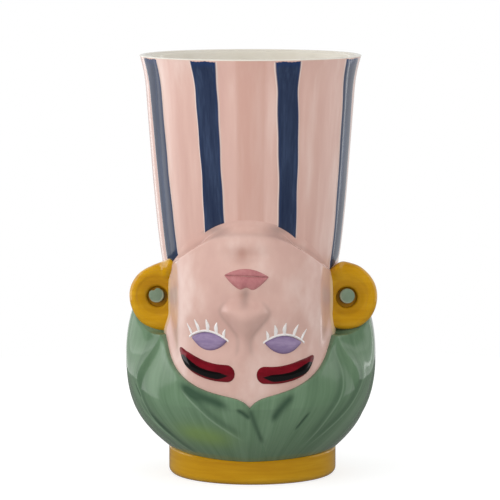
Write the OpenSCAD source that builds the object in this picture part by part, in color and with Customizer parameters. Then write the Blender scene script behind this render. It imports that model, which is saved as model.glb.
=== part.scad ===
// Stoneware vase in the form of an upturned woman's head. The neck is the vase's neck, and the
// hair is its bowl. Millimetres. Z is up, the face looks along -Y and +X is the viewer's right.
// Left and right are the viewer's. The origin is the centre of the foot's underside.

/* [Vase] */
// Height of the whole vase
vase_h = 260; // [240:1:320]
// Thickness of the fired clay wall
wall = 5; // [4:0.5:6]
// Clearance left where two pieces meet
seam = 0.3; // [0.2:0.05:0.4]

/* [Neck] */
// Radius of the waist, just above the earrings
waist_r = 54.5; // [52:0.5:57]
// Height of the waist
waist_z = 134; // [130:1:138]
// Radius of the neck below its flared lip
neck_top_r = 65.9; // [62:0.5:70]
// How far the lip flares past the neck
lip_flare = 2.6; // [1:0.1:4]
// Height of the flared part
flare_h = 22; // [16:1:30]
// Thickness of the lip
lip_t = 3.2; // [2.6:0.1:4]

/* [Stripes] */
// Width of a stripe, as an angle of the neck
stripe_deg = 13.5; // [10:0.5:22]
// Thickness of a stripe's glaze
stripe_t = 0.6; // [0.4:0.1:1]
// How far the stripes stop below the lip
stripe_drop = 1; // [0.5:0.5:12]

/* [Face] */
// How far the face stands back from the hair's greatest radius
face_back = 7.9; // [6:0.1:12]
// Half-width of the head at the ears
temple_r = 54.2; // [52:0.5:57]
// Height of the nose over the face
nose_rise = 9; // [6:0.5:12]
// Height of the lips over the face
lip_rise = 1.5; // [0.8:0.1:2.5]
// Half-width of the mouth
mouth_w = 12.5; // [9:0.5:15]
// Half-width of an eyelid
lid_w = 12; // [9:0.5:14]
// Height of an eyelid over its socket
lid_rise = 2.6; // [1:0.2:4]
// Length of an eyebrow
brow_len = 40; // [32:1:42]
// Half-width of an eyebrow at its thickest
brow_w = 5.2; // [3:0.2:5.4]
// Height of an eyebrow over the face
brow_rise = 2.2; // [1:0.2:3]

/* [Hair] */
// Greatest radius of the hair
hair_max_r = 77.4; // [75:0.5:80]
// Height at which the hair is widest
hair_mid_z = 75; // [72:1:78]
// Height of the hair over the face at the hairline
hair_rise = 3; // [2:0.5:4]
// Depth of the modelled locks
lock_rise = 1.6; // [0:0.2:2]

/* [Earrings] */
// Radius of an earring
earring_r = 22.3; // [18:0.5:22.5]
// Radius of the stud in an earring
stud_r = 4.6; // [3.5:0.2:5.5]
// How far the front of an earring stands before the axis
earring_front = 20; // [16:0.5:24]
// Depth of the hole round the stud
dish_depth = 6; // [4:0.5:8]
// Depth of the shallow dish round the hole
dish_in = 1.6; // [1:0.1:2.5]

/* [Foot] */
// Radius of the band under the hair
band_r = 51.8; // [50:0.5:54]
// Height of the band
band_h = 14; // [12:0.5:16]
// Radius of the band's rounded lower edge
band_round = 4; // [2:0.5:5]
// Thickness of the vase's floor
floor_t = 6; // [4:0.5:7]

/* [Hidden] */
$fn = 96;

// Colours
skin_pink = "#dcb5a8";
navy = "#3b4a6b";
cream = "#e9e3d8";
sage = "#6d8a6c";
mustard = "#c8960f";
stud_green = "#7ea596";
rose = "#b9777c";
lavender = "#8f7bb4";
lash_white = "#f4f1ee";
maroon = "#7a1022";

// Neck: the power shapes its taper, and the rest are counts and its small sizes
neck_power = 0.75;
flare_power = 2;
neck_rings = 16;
flare_rings = 6;
lip_cap_h = 1.8;
cap_steps = 8;
stripe_degs = [-62, -21.3, 23.3, 71, 115.7, 161, 206.6, 251.8];
stripe_clear = 0.8;
lining_t = 0.8;
lining_gap = 0.3;
bowl_gap = 0.8;
cut_over = 20;

// Hair hem and jaw: the hem is where the neck's wall sits on the head, and the jaw's arc is
// the round edge, seen from the front, where the face's top meets the neck
hem_z = 127;
jaw_r = 53;
jaw_z = 110;
jaw_fold = 10;
jaw_fade = 15;
// Seen from the front, the crease under the jaw and the top of the throat's slope are two more
// arcs, and the slope is never narrower than the crease's own
crease_r = 61.3;
crease_z = 92.7;
crease_slope = 2.4;
crease_row_z = 140;
crease_room = 1.5;
crease_share = 30 / 36;
slope_share = 34 / 36;
throat_r = 40.8;
throat_z = 121.7;
chin_in = 3;
chin_z = 125;
chin_fade = 28;

// Temples: beside the cheeks the face is cut back by a plane that turns away from the front
temple_plane = 53.7;
temple_turn_deg = 74.8;
temple_soft = 0.5;
temple_clear = 14;

// Head: the face's depth, the section's power, and where the narrow temples widen to the round
// crown. The hair narrows below its middle to a small ledge on the foot band
face_depth = hair_max_r - face_back;
head_power = 2.15;
temple_z = 88;
temple_fade = 60;
crown_z = 50;
crown_fade = 25;
hair_power = 2.1;
hair_up = 80;
band_ledge = 0.2;
hair_down = (hair_mid_z - band_h)
    / pow(1 - pow((band_r - band_ledge) / hair_max_r, hair_power), 1 / hair_power);

// Face: forms are placed by the arc from the centre line, at this radius, and by height
arc_r = 66;
face_lean_deg = 2.4;
nose_foot_z = 76;
nose_len = 41;
nose_half_w = 14;
nose_x = -0.6;
nose_power = 1.2;
nose_width_shares = [[0.1, 0.32], [0.2, 0.2], [0.34, 0.17], [0.44, 0.23], [0.54, 0.5], [0.61, 0.69],
    [0.71, 0.93], [0.8, 1], [0.9, 0.86], [0.98, 0.64]];
nose_rise_shares = [[0, 0], [0.17, 0.11], [0.32, 0.23], [0.44, 0.41], [0.54, 0.64], [0.63, 0.86],
    [0.72, 1], [0.8, 0.94], [0.88, 0.57], [0.94, 0.14], [1, 0]];
wing_rise = 1.5;
wing_x = 9.2;
wing_z = 110;
wing_w = 3.8;
wing_h = 3.4;
socket_in = 2.6;
socket_x = 22;
socket_z = 90;
socket_w = 11;
socket_h = 8;
cheek_rise = 1.6;
cheek_x = 27;
cheek_z = 110;
cheek_w = 14;
cheek_h = 13;
muzzle_rise = 2;
muzzle_z = 127.5;
muzzle_w = 15;
muzzle_h = 8;
fold_in = 2.4;
fold_z = 141;
fold_w = 11;
fold_h = 3.4;
chin_rise = 1.6;
chin_bump_z = 149;
chin_bump_w = 14;
chin_bump_h = 5;
groove_in = 0.7;
groove_z = 118;
groove_w = 2.2;
groove_h = 4;

// Hairline: its height at the peak, and how it climbs to the ear
peak_z = 50.5;
peak_rise = 6.5;
peak_deg = 4;
temple_rise = 32.5;
ear_deg = 62;
hairline_power = 2.05;
ear_back_deg = 89;
ear_step_deg = 0.5;
ear_lift = 60;
ear_lift_deg = 70;
ear_lift_span_deg = 22;
slope_deg = 1;
hair_dip = 24;
hem_round = 9;
hem_ledge = 1.6;
edge_round = 2.5;

// Hair: the parting leans to the right, and the locks sweep forward as they go down
part_top_deg = 2;
part_lean_deg = 12.5;
part_power = 1.2;
part_gap_deg = 0.3;
lock_count = 20;
lock_sweep_deg = 45;
lock_sweep_z = 85;
lock_sweep_h = 67;
lock_power = 2;
hair_wall = 8;
face_wall = 6;
cheek_blend_deg = 58;
nape_fade = 30;
jaw_inner_fold = 26;

// Eyes, measured from the middle of a lid
lid_x = 23;
lid_z = 90.5;
lid_up = 3.9;
lid_down = 7;
lid_power = 0.8;
lash_over = 1.3;
lash_line_x = 23.6;
lash_line_w = 0.8;
lash_line_len = 13.8;
lash_t = 0.6;
lash_w = 1;
lash_tip_shares = [[1.12, 0.55], [0.64, 0.76], [0.05, 0.83], [-0.43, 0.74], [-0.77, 0.49]];
lash_root_shares = [0.86, 0.46, 0.02, -0.39, -0.73];
lash_reach = 14;
lash_drop = 5;
lash_rows = 4;
tip_share = 0.85;

// Brows and mouth
brow_x = 6.2;
brow_z = 70.7;
brow_climb = 9.6;
brow_climb_share = 0.22;
brow_power = 1.8;
brow_round_share = 0.12;
brow_full_share = 0.5;
brow_taper_power = 4;
brow_end_power = 0.6;
mouth_x = 0.5;
mouth_z = 130.4;
lower_lip_h = 4.4;
upper_lip_h = 9.8;
lip_power = 1.6;
bow_dip = 3;
bow_w = 2.6;
lip_split = 0.35;
glaze_edge = 0.4;

// Earrings and foot
earring_xs = [52.3, 56.4];
stud_xs = [57.8, 60.5];
earring_z = 112;
earring_back = hair_max_r * cos(ear_back_deg) + seam;
earring_round = 5;
dish_r = 14;
dish_hole_r = 7.4;
dish_floor_r = 6.6;
stud_proud = 0.4;
stud_round = 1;
seat_steps = 6;
seat_levels = 4;

// Counts of the curved surfaces
face_cols = 48;
face_rows = 36;
hair_cols = 44;
hair_rows = 24;
ear_col = 22;
bowl_cols = 48;
bowl_rows = 22;
col_power = 1.3;
row_power = 1.3;

function clamp(t) = max(0, min(1, t));
function smooth(t) = let (c = clamp(t)) c * c * (3 - 2 * c);
function mix(a, b, t) = a + (b - a) * t;
function form(a, z, x0, z0, w, h) = exp(-pow((a - x0) / w, 2) - pow((z - z0) / h, 2));
function both(a, z, x0, z0, w, h) = form(abs(a), z, x0, z0, w, h);
function place(r, deg, z) = [r * sin(deg), -r * cos(deg), z];

// Outer radius of the neck at a height
function neck_r(z) =
    let (u = clamp((z - waist_z) / (vase_h - waist_z)),
         f = clamp((z - vase_h + flare_h) / flare_h))
    waist_r + (neck_top_r - waist_r) * pow(u, neck_power) + lip_flare * pow(f, flare_power);

// Outer radius of the hair at a height, before its locks
function hair_r(z) =
    let (t = z > hair_mid_z ? (z - hair_mid_z) / hair_up : (hair_mid_z - z) / hair_down)
    hair_max_r * pow(1 - pow(clamp(t), hair_power), 1 / hair_power);

// Radius of the plain head under the hair: an oval section, closed by the crown below
function crown_r(z) = hair_r(z) - hair_rise * smooth((z - band_h) / crown_fade);
function crown(z) = z < crown_z ? crown_r(z) / crown_r(crown_z) : 1;
function head_w(z) = temple_r + (face_depth - temple_r) * smooth((temple_z - z) / temple_fade);
function head_d(z) = face_depth - chin_in * smooth((z - chin_z) / chin_fade);
function head_r(deg, z) = crown(z) * pow(pow(abs(sin(deg)) / head_w(z), head_power)
    + pow(abs(cos(deg)) / head_d(z), head_power), -1 / head_power);

// The face's forms lean down towards the viewer's right: a height on the skin at an arc from the
// middle, and back from it to the height in the face's own drawing
function leaned(a, z) = z - a * tan(face_lean_deg);
function unleaned(a, z) = z + a * tan(face_lean_deg);
function arc_deg(a) = a / arc_r * 180 / PI;

// Height of the nose over the face, from its drawn width and rise along its length
function nose(a, z) =
    let (t = (z - nose_foot_z) / nose_len,
         across = clamp(abs(a - nose_x) / (nose_half_w * lookup(t, nose_width_shares))))
    nose_rise * lookup(t, nose_rise_shares) * pow(1 - across * across, nose_power);

// Height of all the modelled forms of the face
function relief(deg, z) =
    let (a = deg * PI / 180 * arc_r, h = unleaned(a, z))
    nose(a, h)
    + wing_rise * both(a, h, wing_x, wing_z, wing_w, wing_h)
    - socket_in * both(a, h, socket_x, socket_z, socket_w, socket_h)
    + cheek_rise * both(a, h, cheek_x, cheek_z, cheek_w, cheek_h)
    + muzzle_rise * form(a, h, 0, muzzle_z, muzzle_w, muzzle_h)
    - fold_in * form(a, h, 0, fold_z, fold_w, fold_h)
    + chin_rise * form(a, h, 0, chin_bump_z, chin_bump_w, chin_bump_h)
    - groove_in * form(a, h, 0, groove_z, groove_w, groove_h);

// How much of the head shows at a place: none on the neck, all below the crease under the jaw
function circle_top(x, r, z) = z + sqrt(max(0, r * r - x * x));
function head_share(x, z) =
    let (crease = circle_top(x, crease_r, crease_z),
         top = max(crease + crease_slope, circle_top(x, throat_r, throat_z)))
    smooth((top - z) / (top - crease));

// How much of the head's hollow is open inside, with a longer slope under the jaw's round edge
function jaw_share(x, z, fold) =
    let (inside = jaw_r - norm([x, max(0, z - jaw_z)]),
         below = smooth((jaw_z - z) / jaw_fade * jaw_fold / fold))
    smooth(inside / fold + 2 * below);

// How much the plane beside the cheek takes off the head's oval, above the hairline
function temple_cut(deg, z, r) =
    let (over = (r - temple_plane / cos(abs(deg) - temple_turn_deg)) / temple_soft)
    abs(deg) < temple_turn_deg / 2 ? 0
        : temple_soft * (over > 30 ? over : ln(1 + exp(over)))
            * smooth((z - hairline(deg)) / temple_clear);

// Outer radius of the skin, and of the same surface without its small forms
function blended(r, deg, z) = mix(neck_r(z), r, head_share(r * sin(deg), z));
function skin_r(deg, z) =
    let (bare = head_r(deg, z))
    blended(bare - temple_cut(deg, z, bare) + relief(deg, z), deg, z);
function plain_r(deg, z) = blended(head_r(deg, z), deg, z);

// Radius of the inside: a wall's thickness in from the neck, the face and the hair
function inside_r(deg, z) =
    let (neck_in = neck_r(z) - wall,
         face_in = jaw_share(head_r(deg, z) * sin(deg), z, jaw_inner_fold)
             * (head_r(deg, z) - face_wall - neck_in),
         back_in = smooth((hem_z - z) / nape_fade) * (hair_r(z) - hair_wall - neck_in),
         low = smooth((crown_z - z) / (crown_z - band_h)),
         back = smooth((abs(deg) - ear_back_deg) / cheek_blend_deg))
    neck_in + mix(face_in, back_in, max(back, low));

// Height of the hairline, and of the same line carried on past the ear
function hairline(deg) =
    peak_z + peak_rise * (1 - exp(-abs(deg - part_top_deg) / peak_deg))
        + temple_rise * pow(min(1, abs(deg) / ear_deg), hairline_power);
function far_line(deg) =
    hairline(deg) + ear_lift * smooth((abs(deg) - ear_lift_deg) / ear_lift_span_deg);

// Distance of a place from the hairline
function line_gap(deg, z) =
    let (step = 2 * arc_r * slope_deg * PI / 180,
         slope = (far_line(abs(deg) + slope_deg) - far_line(abs(deg) - slope_deg)) / step)
    (far_line(deg) - z) / norm([1, slope]);

// Height of the modelled locks
function locks(deg, z) =
    let (sweep = lock_sweep_deg * pow(clamp((lock_sweep_z - z) / lock_sweep_h), lock_power),
         turn = deg + sweep * sin(deg))
    lock_rise * (abs(sin(turn * lock_count / 2)) - 1 / 2);

// Outer radius of the hair at a place: it dips to the face at the hairline and to the neck
// at the hem, and its edge is rounded there
function hair_at(deg, z) =
    let (dip = abs(deg) > ear_back_deg ? 1 : smooth(line_gap(deg, z) / hair_dip),
         low = smooth((crown_z - z) / (crown_z - band_h)),
         full = hair_r(z) + locks(deg, z) * smooth((z - band_h) / crown_fade),
         body = mix(min(full, plain_r(deg, z) + hair_rise), full, max(dip, low)),
         hem = clamp((z - hem_z + hem_round) / hem_round))
    mix(body, waist_r + hem_ledge, 1 - sqrt(1 - hem * hem));

// Angle of the parting at a height
function part_deg(z) =
    part_top_deg + part_lean_deg * pow(clamp((peak_z - z) / (peak_z - band_h)), part_power);

// Height of the face's top edge, on the jaw's round edge or, past its end, under the neck's hem.
// The neck's radius changes with height, so the height is found in two steps
function on_jaw(x) = jaw_z + sqrt(max(0, pow(jaw_r - seam / 2, 2) - x * x));
function edge_z(inset, deg) =
    let (z = on_jaw((waist_r - inset) * sin(deg)), z2 = on_jaw((neck_r(z) - inset) * sin(deg)))
    on_jaw((neck_r(z2) - inset) * sin(deg));
function face_top(inset, deg) = edge_z(0, deg) < hem_z ? hem_z - seam : edge_z(inset, deg);
function face_deg(i, n) = let (u = 2 * i / n - 1) sign(u) * ear_back_deg * pow(abs(u), col_power);
// The face's rows crowd between the crease under the jaw and the top of the throat's slope
function crease_at(deg) =
    let (z = circle_top(head_r(deg, crease_row_z) * sin(deg), crease_r, crease_z))
    circle_top(head_r(deg, z) * sin(deg), crease_r, crease_z);
function slope_at(deg) =
    max(crease_at(deg) + crease_slope,
        circle_top(head_r(deg, crease_row_z) * sin(deg), throat_r, throat_z));
function face_z(inset, deg, t) =
    let (low = hairline(deg) + seam,
         top = face_top(inset, deg),
         crease = min(crease_at(deg), top - crease_room),
         slope = min(slope_at(deg), top - crease_room / 3))
    t < crease_share ? mix(low, crease, t / crease_share)
        : t < slope_share ? mix(crease, slope, (t - crease_share) / (slope_share - crease_share))
        : mix(slope, top, (t - slope_share) / (1 - slope_share));
face_outer = [for (j = [0:face_rows]) [for (i = [0:face_cols])
    let (deg = face_deg(i, face_cols), z = face_z(0, deg, j / face_rows))
    place(skin_r(deg, z), deg, z)]];
face_inner = [for (j = [0:face_rows / 2]) [for (i = [0:face_cols / 2])
    let (deg = face_deg(i, face_cols / 2), z = face_z(wall, deg, j / face_rows * 2))
    place(inside_r(deg, z), deg, z)]];

// Columns of one half of the hair: side is -1 for the viewer's left, 1 for the right. The
// columns crowd where the hair steps up behind the earring
function hair_top(deg) =
    (abs(deg) < ear_back_deg + ear_step_deg / 4 ? hairline(deg) : hem_z) - seam;
function hair_deg(i, n, side, z) =
    i <= ear_col ? mix(side * part_deg(z) + part_gap_deg, ear_back_deg, i / ear_col)
        : i == ear_col + 1 ? ear_back_deg + ear_step_deg / 2
        : mix(ear_back_deg + ear_step_deg, 180 - part_gap_deg,
            pow((i - ear_col - 2) / (n - ear_col - 2), col_power));
function hair_point(i, n, t, side, inner) =
    let (top = hair_top(side * hair_deg(i, n, side, peak_z)),
         low = band_h + seam,
         z = mix(low, top, t),
         deg = side * hair_deg(i, n, side, z),
         edge = clamp(1 - (top - z) / edge_round))
    place(inner ? inside_r(deg, z)
        : hair_at(deg, z) - edge_round / 2 * (1 - sqrt(1 - edge * edge)), deg, z);

// A closed wall between an outer grid of points and an inner grid with half as many steps
module wall_shell(outer, inner, flip) {
    rows = len(outer) - 1;
    cols = len(outer[0]) - 1;
    start = (rows + 1) * (cols + 1);
    function o(j, i) = j * (cols + 1) + i;
    function n(j, i) = start + j * (cols / 2 + 1) + i;
    skin = [for (j = [0:rows - 1], i = [0:cols - 1])
        each [[o(j, i), o(j + 1, i), o(j + 1, i + 1)], [o(j, i), o(j + 1, i + 1), o(j, i + 1)]]];
    lining = [for (j = [0:rows / 2 - 1], i = [0:cols / 2 - 1])
        each [[n(j, i), n(j + 1, i + 1), n(j + 1, i)], [n(j, i), n(j, i + 1), n(j + 1, i + 1)]]];
    bottom = [for (i = [0:cols / 2 - 1])
        each [[o(0, 2 * i), o(0, 2 * i + 1), n(0, i)],
            [o(0, 2 * i + 1), n(0, i + 1), n(0, i)],
            [o(0, 2 * i + 1), o(0, 2 * i + 2), n(0, i + 1)]]];
    top = [for (i = [0:cols / 2 - 1])
        each [[o(rows, 2 * i + 1), o(rows, 2 * i), n(rows / 2, i)],
            [n(rows / 2, i + 1), o(rows, 2 * i + 1), n(rows / 2, i)],
            [o(rows, 2 * i + 2), o(rows, 2 * i + 1), n(rows / 2, i + 1)]]];
    first = [for (j = [0:rows / 2 - 1])
        each [[o(2 * j + 1, 0), o(2 * j, 0), n(j, 0)],
            [n(j + 1, 0), o(2 * j + 1, 0), n(j, 0)],
            [o(2 * j + 2, 0), o(2 * j + 1, 0), n(j + 1, 0)]]];
    last = [for (j = [0:rows / 2 - 1])
        each [[o(2 * j, cols), o(2 * j + 1, cols), n(j, cols / 2)],
            [o(2 * j + 1, cols), n(j + 1, cols / 2), n(j, cols / 2)],
            [o(2 * j + 1, cols), o(2 * j + 2, cols), n(j + 1, cols / 2)]]];
    all = concat(skin, lining, bottom, top, first, last);
    polyhedron(
        points = concat([for (row = outer) each row], [for (row = inner) each row]),
        faces = flip ? [for (f = all) [f[2], f[1], f[0]]] : all);
}

// The bowl's lining: a thin cup with its own floor, open at the top
module bowl_lining() {
    low = floor_t + seam;
    high = jaw_z + jaw_r + seam;
    function z(j) = mix(low, high, j / bowl_rows);
    function ring(lift, up) = [for (j = [0:bowl_rows], i = [0:bowl_cols - 1])
        let (deg = 360 * i / bowl_cols, turned = deg > 180 ? deg - 360 : deg)
        place(inside_r(turned, max(z(j), band_h)) - lift, deg, max(z(j), low + up))];
    count = (bowl_rows + 1) * bowl_cols;
    function o(j, i) = j * bowl_cols + (i % bowl_cols);
    function n(j, i) = count + j * bowl_cols + (i % bowl_cols);
    sides = [for (j = [0:bowl_rows - 1], i = [0:bowl_cols - 1])
        each [[o(j, i), o(j + 1, i), o(j + 1, i + 1)], [o(j, i), o(j + 1, i + 1), o(j, i + 1)],
            [n(j, i), n(j + 1, i + 1), n(j + 1, i)], [n(j, i), n(j, i + 1), n(j + 1, i + 1)]]];
    ends = [for (i = [0:bowl_cols - 1])
        each [[o(0, i), o(0, i + 1), 2 * count], [n(0, i), 2 * count + 1, n(0, i + 1)],
            [o(bowl_rows, i), n(bowl_rows, i), n(bowl_rows, i + 1)],
            [o(bowl_rows, i), n(bowl_rows, i + 1), o(bowl_rows, i + 1)]]];
    color(cream) polyhedron(
        points = concat(ring(bowl_gap, 0), ring(bowl_gap + lining_t, lining_t),
            [[0, 0, low], [0, 0, low + lining_t]]),
        faces = concat(sides, ends));
}

// Heights of the neck's rings, closer together in the flare
function neck_zs(low, high) = concat(
    [for (k = [0:neck_rings - 1]) mix(low, vase_h - flare_h, k / neck_rings)],
    [for (k = [0:flare_rings]) mix(vase_h - flare_h, high, k / flare_rings)]);
function neck_in_r(z) = neck_r(z) - mix(wall, lip_t, smooth((z - vase_h + flare_h) / flare_h));
function reversed(list) = [for (k = [len(list) - 1:-1:0]) list[k]];

// A round solid in front of the axis, which cuts what ends along an arc seen from the front
module front_cut(r, z) {
    translate([0, -seam, z]) rotate([90, 0, 0]) cylinder(r = r, h = vase_h);
}

module neck_wall() {
    zs = neck_zs(hem_z, vase_h - lip_cap_h);
    color(skin_pink) difference() {
        rotate_extrude() polygon(concat(
            [for (z = zs) [neck_r(z), z]],
            [for (z = reversed(zs)) [neck_in_r(z), z]]));
        front_cut(jaw_r + seam / 2, jaw_z);
    }
}

// Lining of the neck, which runs up over the lip
module neck_lining() {
    low = jaw_z + jaw_r + 2 * seam;
    top = vase_h - lip_cap_h + seam;
    zs = neck_zs(low, top);
    mid = neck_r(top) - lip_t / 2;
    color(cream) rotate_extrude() polygon(concat(
        [for (z = zs) [neck_in_r(z) - lining_gap, z]],
        [for (k = [0:cap_steps]) let (deg = 180 * k / cap_steps)
            [mid + lip_t / 2 * cos(deg), top + (vase_h - top) * sin(deg)]],
        [for (z = reversed(zs)) [neck_in_r(z) - lining_gap - lining_t, z]]));
}

// One brushed stripe down the neck. Those beside the face stop over the earring or the jaw
module stripe(k) {
    deg = stripe_degs[k];
    low = abs(deg) < ear_back_deg ? earring_z + earring_r + seam : hem_z + seam;
    zs = neck_zs(low, vase_h - lip_cap_h - stripe_drop);
    color(navy) difference() {
        rotate([0, 0, deg - stripe_deg / 2 - 90]) rotate_extrude(angle = stripe_deg) polygon(concat(
            [for (z = zs) [neck_r(z) + seam + stripe_t, z]],
            [for (z = reversed(zs)) [neck_r(z) + seam, z]]));
        if (abs(deg) < ear_back_deg) {
            front_cut(throat_r + stripe_clear, throat_z);
            front_cut(crease_r + crease_slope + stripe_clear, crease_z);
        }
    }
}

// Half of the hair
module hair(side) {
    rows_t = [for (j = [0:hair_rows]) 1 - pow(1 - j / hair_rows, row_power)];
    color(sage) wall_shell(
        [for (t = rows_t) [for (i = [0:hair_cols]) hair_point(i, hair_cols, t, side, false)]],
        [for (j = [0:2:hair_rows]) [for (i = [0:2:hair_cols])
            hair_point(i, hair_cols, rows_t[j], side, true)]],
        side < 0);
}

// The band under the hair. Its inside carries on the inside of the hair
module foot_band() {
    color(mustard) rotate_extrude() polygon(concat(
        [[foot_in_r(), band_h], [foot_in_r(), 0]],
        [for (k = [0:cap_steps]) let (deg = 90 * k / cap_steps)
            [band_r - band_round + band_round * sin(deg), band_round - band_round * cos(deg)]],
        [[band_r, band_h]]));
}

function foot_in_r() = inside_r(180, band_h);

module vase_floor() {
    color(cream) cylinder(r = foot_in_r() - seam, h = floor_t);
}

// An earring: a thick disc against the side of the head, with a shallow dish and a hole
module earring(side) {
    thick = earring_front - earring_back;
    function seat(level) = [for (k = [0:seat_steps]) let (y = (earring_front + seam) * k / seat_steps)
        [side * (seam + seat_x(y, level / seat_levels)), -y]];
    color(mustard) difference() {
        translate([side * of_side(earring_xs, side), -earring_back, earring_z]) rotate([90, 0, 0])
            rotate_extrude() polygon(concat(
                [[0, 0], [earring_r, 0]],
                [for (k = [0:cap_steps]) let (deg = 90 * k / cap_steps)
                    [earring_r - earring_round + earring_round * cos(deg),
                        thick - earring_round + earring_round * sin(deg)]],
                [[0, thick]]));
        translate([side * of_side(stud_xs, side), -earring_back, earring_z]) rotate([90, 0, 0])
            rotate_extrude() polygon([[0, thick - dish_depth], [dish_floor_r, thick - dish_depth],
                [dish_hole_r, thick - dish_in], [dish_r, thick], [dish_r, thick + dish_depth],
                [0, thick + dish_depth]]);
        for (level = [0:seat_levels])
            let (low = level == 0 ? -cut_over : temple_clear * level / seat_levels,
                 high = level == seat_levels ? 2 * earring_r + cut_over
                     : temple_clear * (level + 1) / seat_levels)
            translate([0, 0, hairline(ear_back_deg) + low]) linear_extrude(high - low)
                polygon(concat([[0, 0]], seat(level), [[0, -earring_front - seam]]));
    }
}

// One of a pair of values, for the left side or the right
function of_side(pair, side) = pair[side < 0 ? 0 : 1];

// How far out the temple, or the neck above it, stands at a depth in front of the axis. The plane
// beside the cheek takes its share off the temple's oval
function seat_x(y, share) =
    let (oval = temple_r * pow(1 - pow(y / face_depth, head_power), 1 / head_power),
         plane = (temple_plane - y * cos(temple_turn_deg)) / sin(temple_turn_deg))
    max(sqrt(waist_r * waist_r - y * y), oval - max(0, oval - plane) * smooth(share));

module earring_stud(side) {
    thick = dish_depth + stud_proud;
    color(stud_green)
        translate([side * of_side(stud_xs, side), dish_depth - earring_front, earring_z])
        rotate([90, 0, 0]) rotate_extrude() polygon(concat(
            [[0, 0], [stud_r, 0]],
            [for (k = [0:cap_steps]) let (deg = 90 * k / cap_steps)
                [stud_r - stud_round + stud_round * cos(deg),
                    thick - stud_round + stud_round * sin(deg)]],
            [[0, thick]]));
}

// A thin raised patch on the face. Its outer grid gives [arc, height, rise] for each point
function on_face(side, p, lift) =
    let (deg = arc_deg(side * p[0]), z = leaned(side * p[0], p[1]))
    place(skin_r(deg, z) + lift, deg, z);
module patch(side, grid) {
    wall_shell(
        [for (row = grid) [for (p = row) on_face(side, p, seam + glaze_edge + p[2])]],
        [for (j = [0:2:len(grid) - 1]) [for (i = [0:2:len(grid[0]) - 1])
            on_face(side, grid[j][i], seam)]],
        side < 0);
}

// A patch between two curves of height over the arc, domed by rise
module pad(side, first, last, low, high, rise, cols, rows) {
    patch(side, [for (j = [0:rows]) [for (i = [0:cols])
        let (u = -cos(180 * i / cols), a = mix(first, last, (1 + u) / 2), v = 2 * j / rows - 1,
            lo = low(a), hi = max(high(a), lo + glaze_edge))
        [a, mix(lo, hi, j / rows), rise * (1 - v * v) * sqrt(1 - u * u)]]]);
}

module eyelid(side) {
    function bow(a) = max(0, 1 - pow((a - lid_x) / lid_w, 2));
    color(lavender) pad(side, lid_x - lid_w, lid_x + lid_w,
        function (a) lid_z - lid_down * pow(bow(a), lid_power), function (a) lid_z + lid_up * bow(a),
        lid_rise, 12, 8);
}

// The line along the lid's edge, and five lashes that stand on it
function lash_line(a) =
    lid_z + lid_up + lash_over - lash_drop * pow((a - lash_line_x) / lash_line_len, 2);
module lashes(side) {
    color(lash_white) {
        pad(side, lash_line_x - lash_line_len, lash_line_x + lash_line_len,
            function (a) lash_line(a) - lash_line_w, function (a) lash_line(a) + lash_line_w,
            lash_t, 12, 2);
        for (k = [0:len(lash_tip_shares) - 1]) lash(side, lash_root_shares[k], lash_tip_shares[k]);
    }
}
module lash(side, root, tip) {
    a0 = lid_x + root * lash_reach;
    z0 = max(lash_line(a0 - lash_w), lash_line(a0 + lash_w)) + lash_line_w + seam;
    a1 = lid_x + tip[0] * lash_reach;
    z1 = lid_z + tip[1] * lash_reach;
    patch(side, [for (j = [0:lash_rows]) let (t = j / lash_rows, w = lash_w * sqrt(1 - t * t * tip_share))
        [for (i = [-1:1]) [mix(a0, a1, t) + i * w, mix(z0, z1, t), lash_t * (1 - i * i)]]]);
}

module eyebrow(side) {
    function s(a) = (a - brow_x) / brow_len;
    function mid(a) = brow_z
        + brow_climb * pow(clamp((s(a) - brow_climb_share) / (1 - brow_climb_share)), brow_power);
    function half(a) = brow_w * (s(a) < brow_round_share
        ? sqrt(max(0, 1 - pow(1 - s(a) / brow_round_share, 2)))
        : pow(1 - pow(clamp((s(a) - brow_full_share) / (1 - brow_full_share)), brow_taper_power),
            brow_end_power));
    color(maroon) pad(side, brow_x, brow_x + brow_len,
        function (a) mid(a) - half(a), function (a) mid(a) + half(a), brow_rise, 20, 6);
}

module lower_lip() {
    color(rose) pad(1, mouth_x - mouth_w, mouth_x + mouth_w,
        function (a) mouth_z + lip_split / 2,
        function (a) mouth_z + lip_split / 2 + lower_lip_h * (1 - pow((a - mouth_x) / mouth_w, 2)),
        lip_rise, 16, 6);
}
module upper_lip() {
    function bow(a) = max(0, upper_lip_h * (1 - pow(abs(a) / mouth_w, lip_power))
        - bow_dip * exp(-pow(a / bow_w, 2)));
    color(rose) pad(1, mouth_x - mouth_w, mouth_x + mouth_w,
        function (a) mouth_z - lip_split / 2 - glaze_edge - bow(a - mouth_x),
        function (a) mouth_z - lip_split / 2,
        lip_rise, 20, 6);
}

module face() {
    color(skin_pink) wall_shell(face_outer, face_inner, false);
}

neck_wall();
face();
hair(-1);  // hair_left
hair(1);  // hair_right
foot_band();
vase_floor();
neck_lining();
bowl_lining();
earring(-1);  // earring_left
earring(1);  // earring_right
earring_stud(-1);  // earring_stud_left
earring_stud(1);  // earring_stud_right
upper_lip();
lower_lip();
eyelid(-1);  // eyelid_left
eyelid(1);  // eyelid_right
lashes(-1);  // lashes_left
lashes(1);  // lashes_right
eyebrow(-1);  // eyebrow_left
eyebrow(1);  // eyebrow_right
stripe(0);  // stripe_1
stripe(1);  // stripe_2
stripe(2);  // stripe_3
stripe(3);  // stripe_4
stripe(4);  // stripe_5
stripe(5);  // stripe_6
stripe(6);  // stripe_7
stripe(7);  // stripe_8
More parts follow.
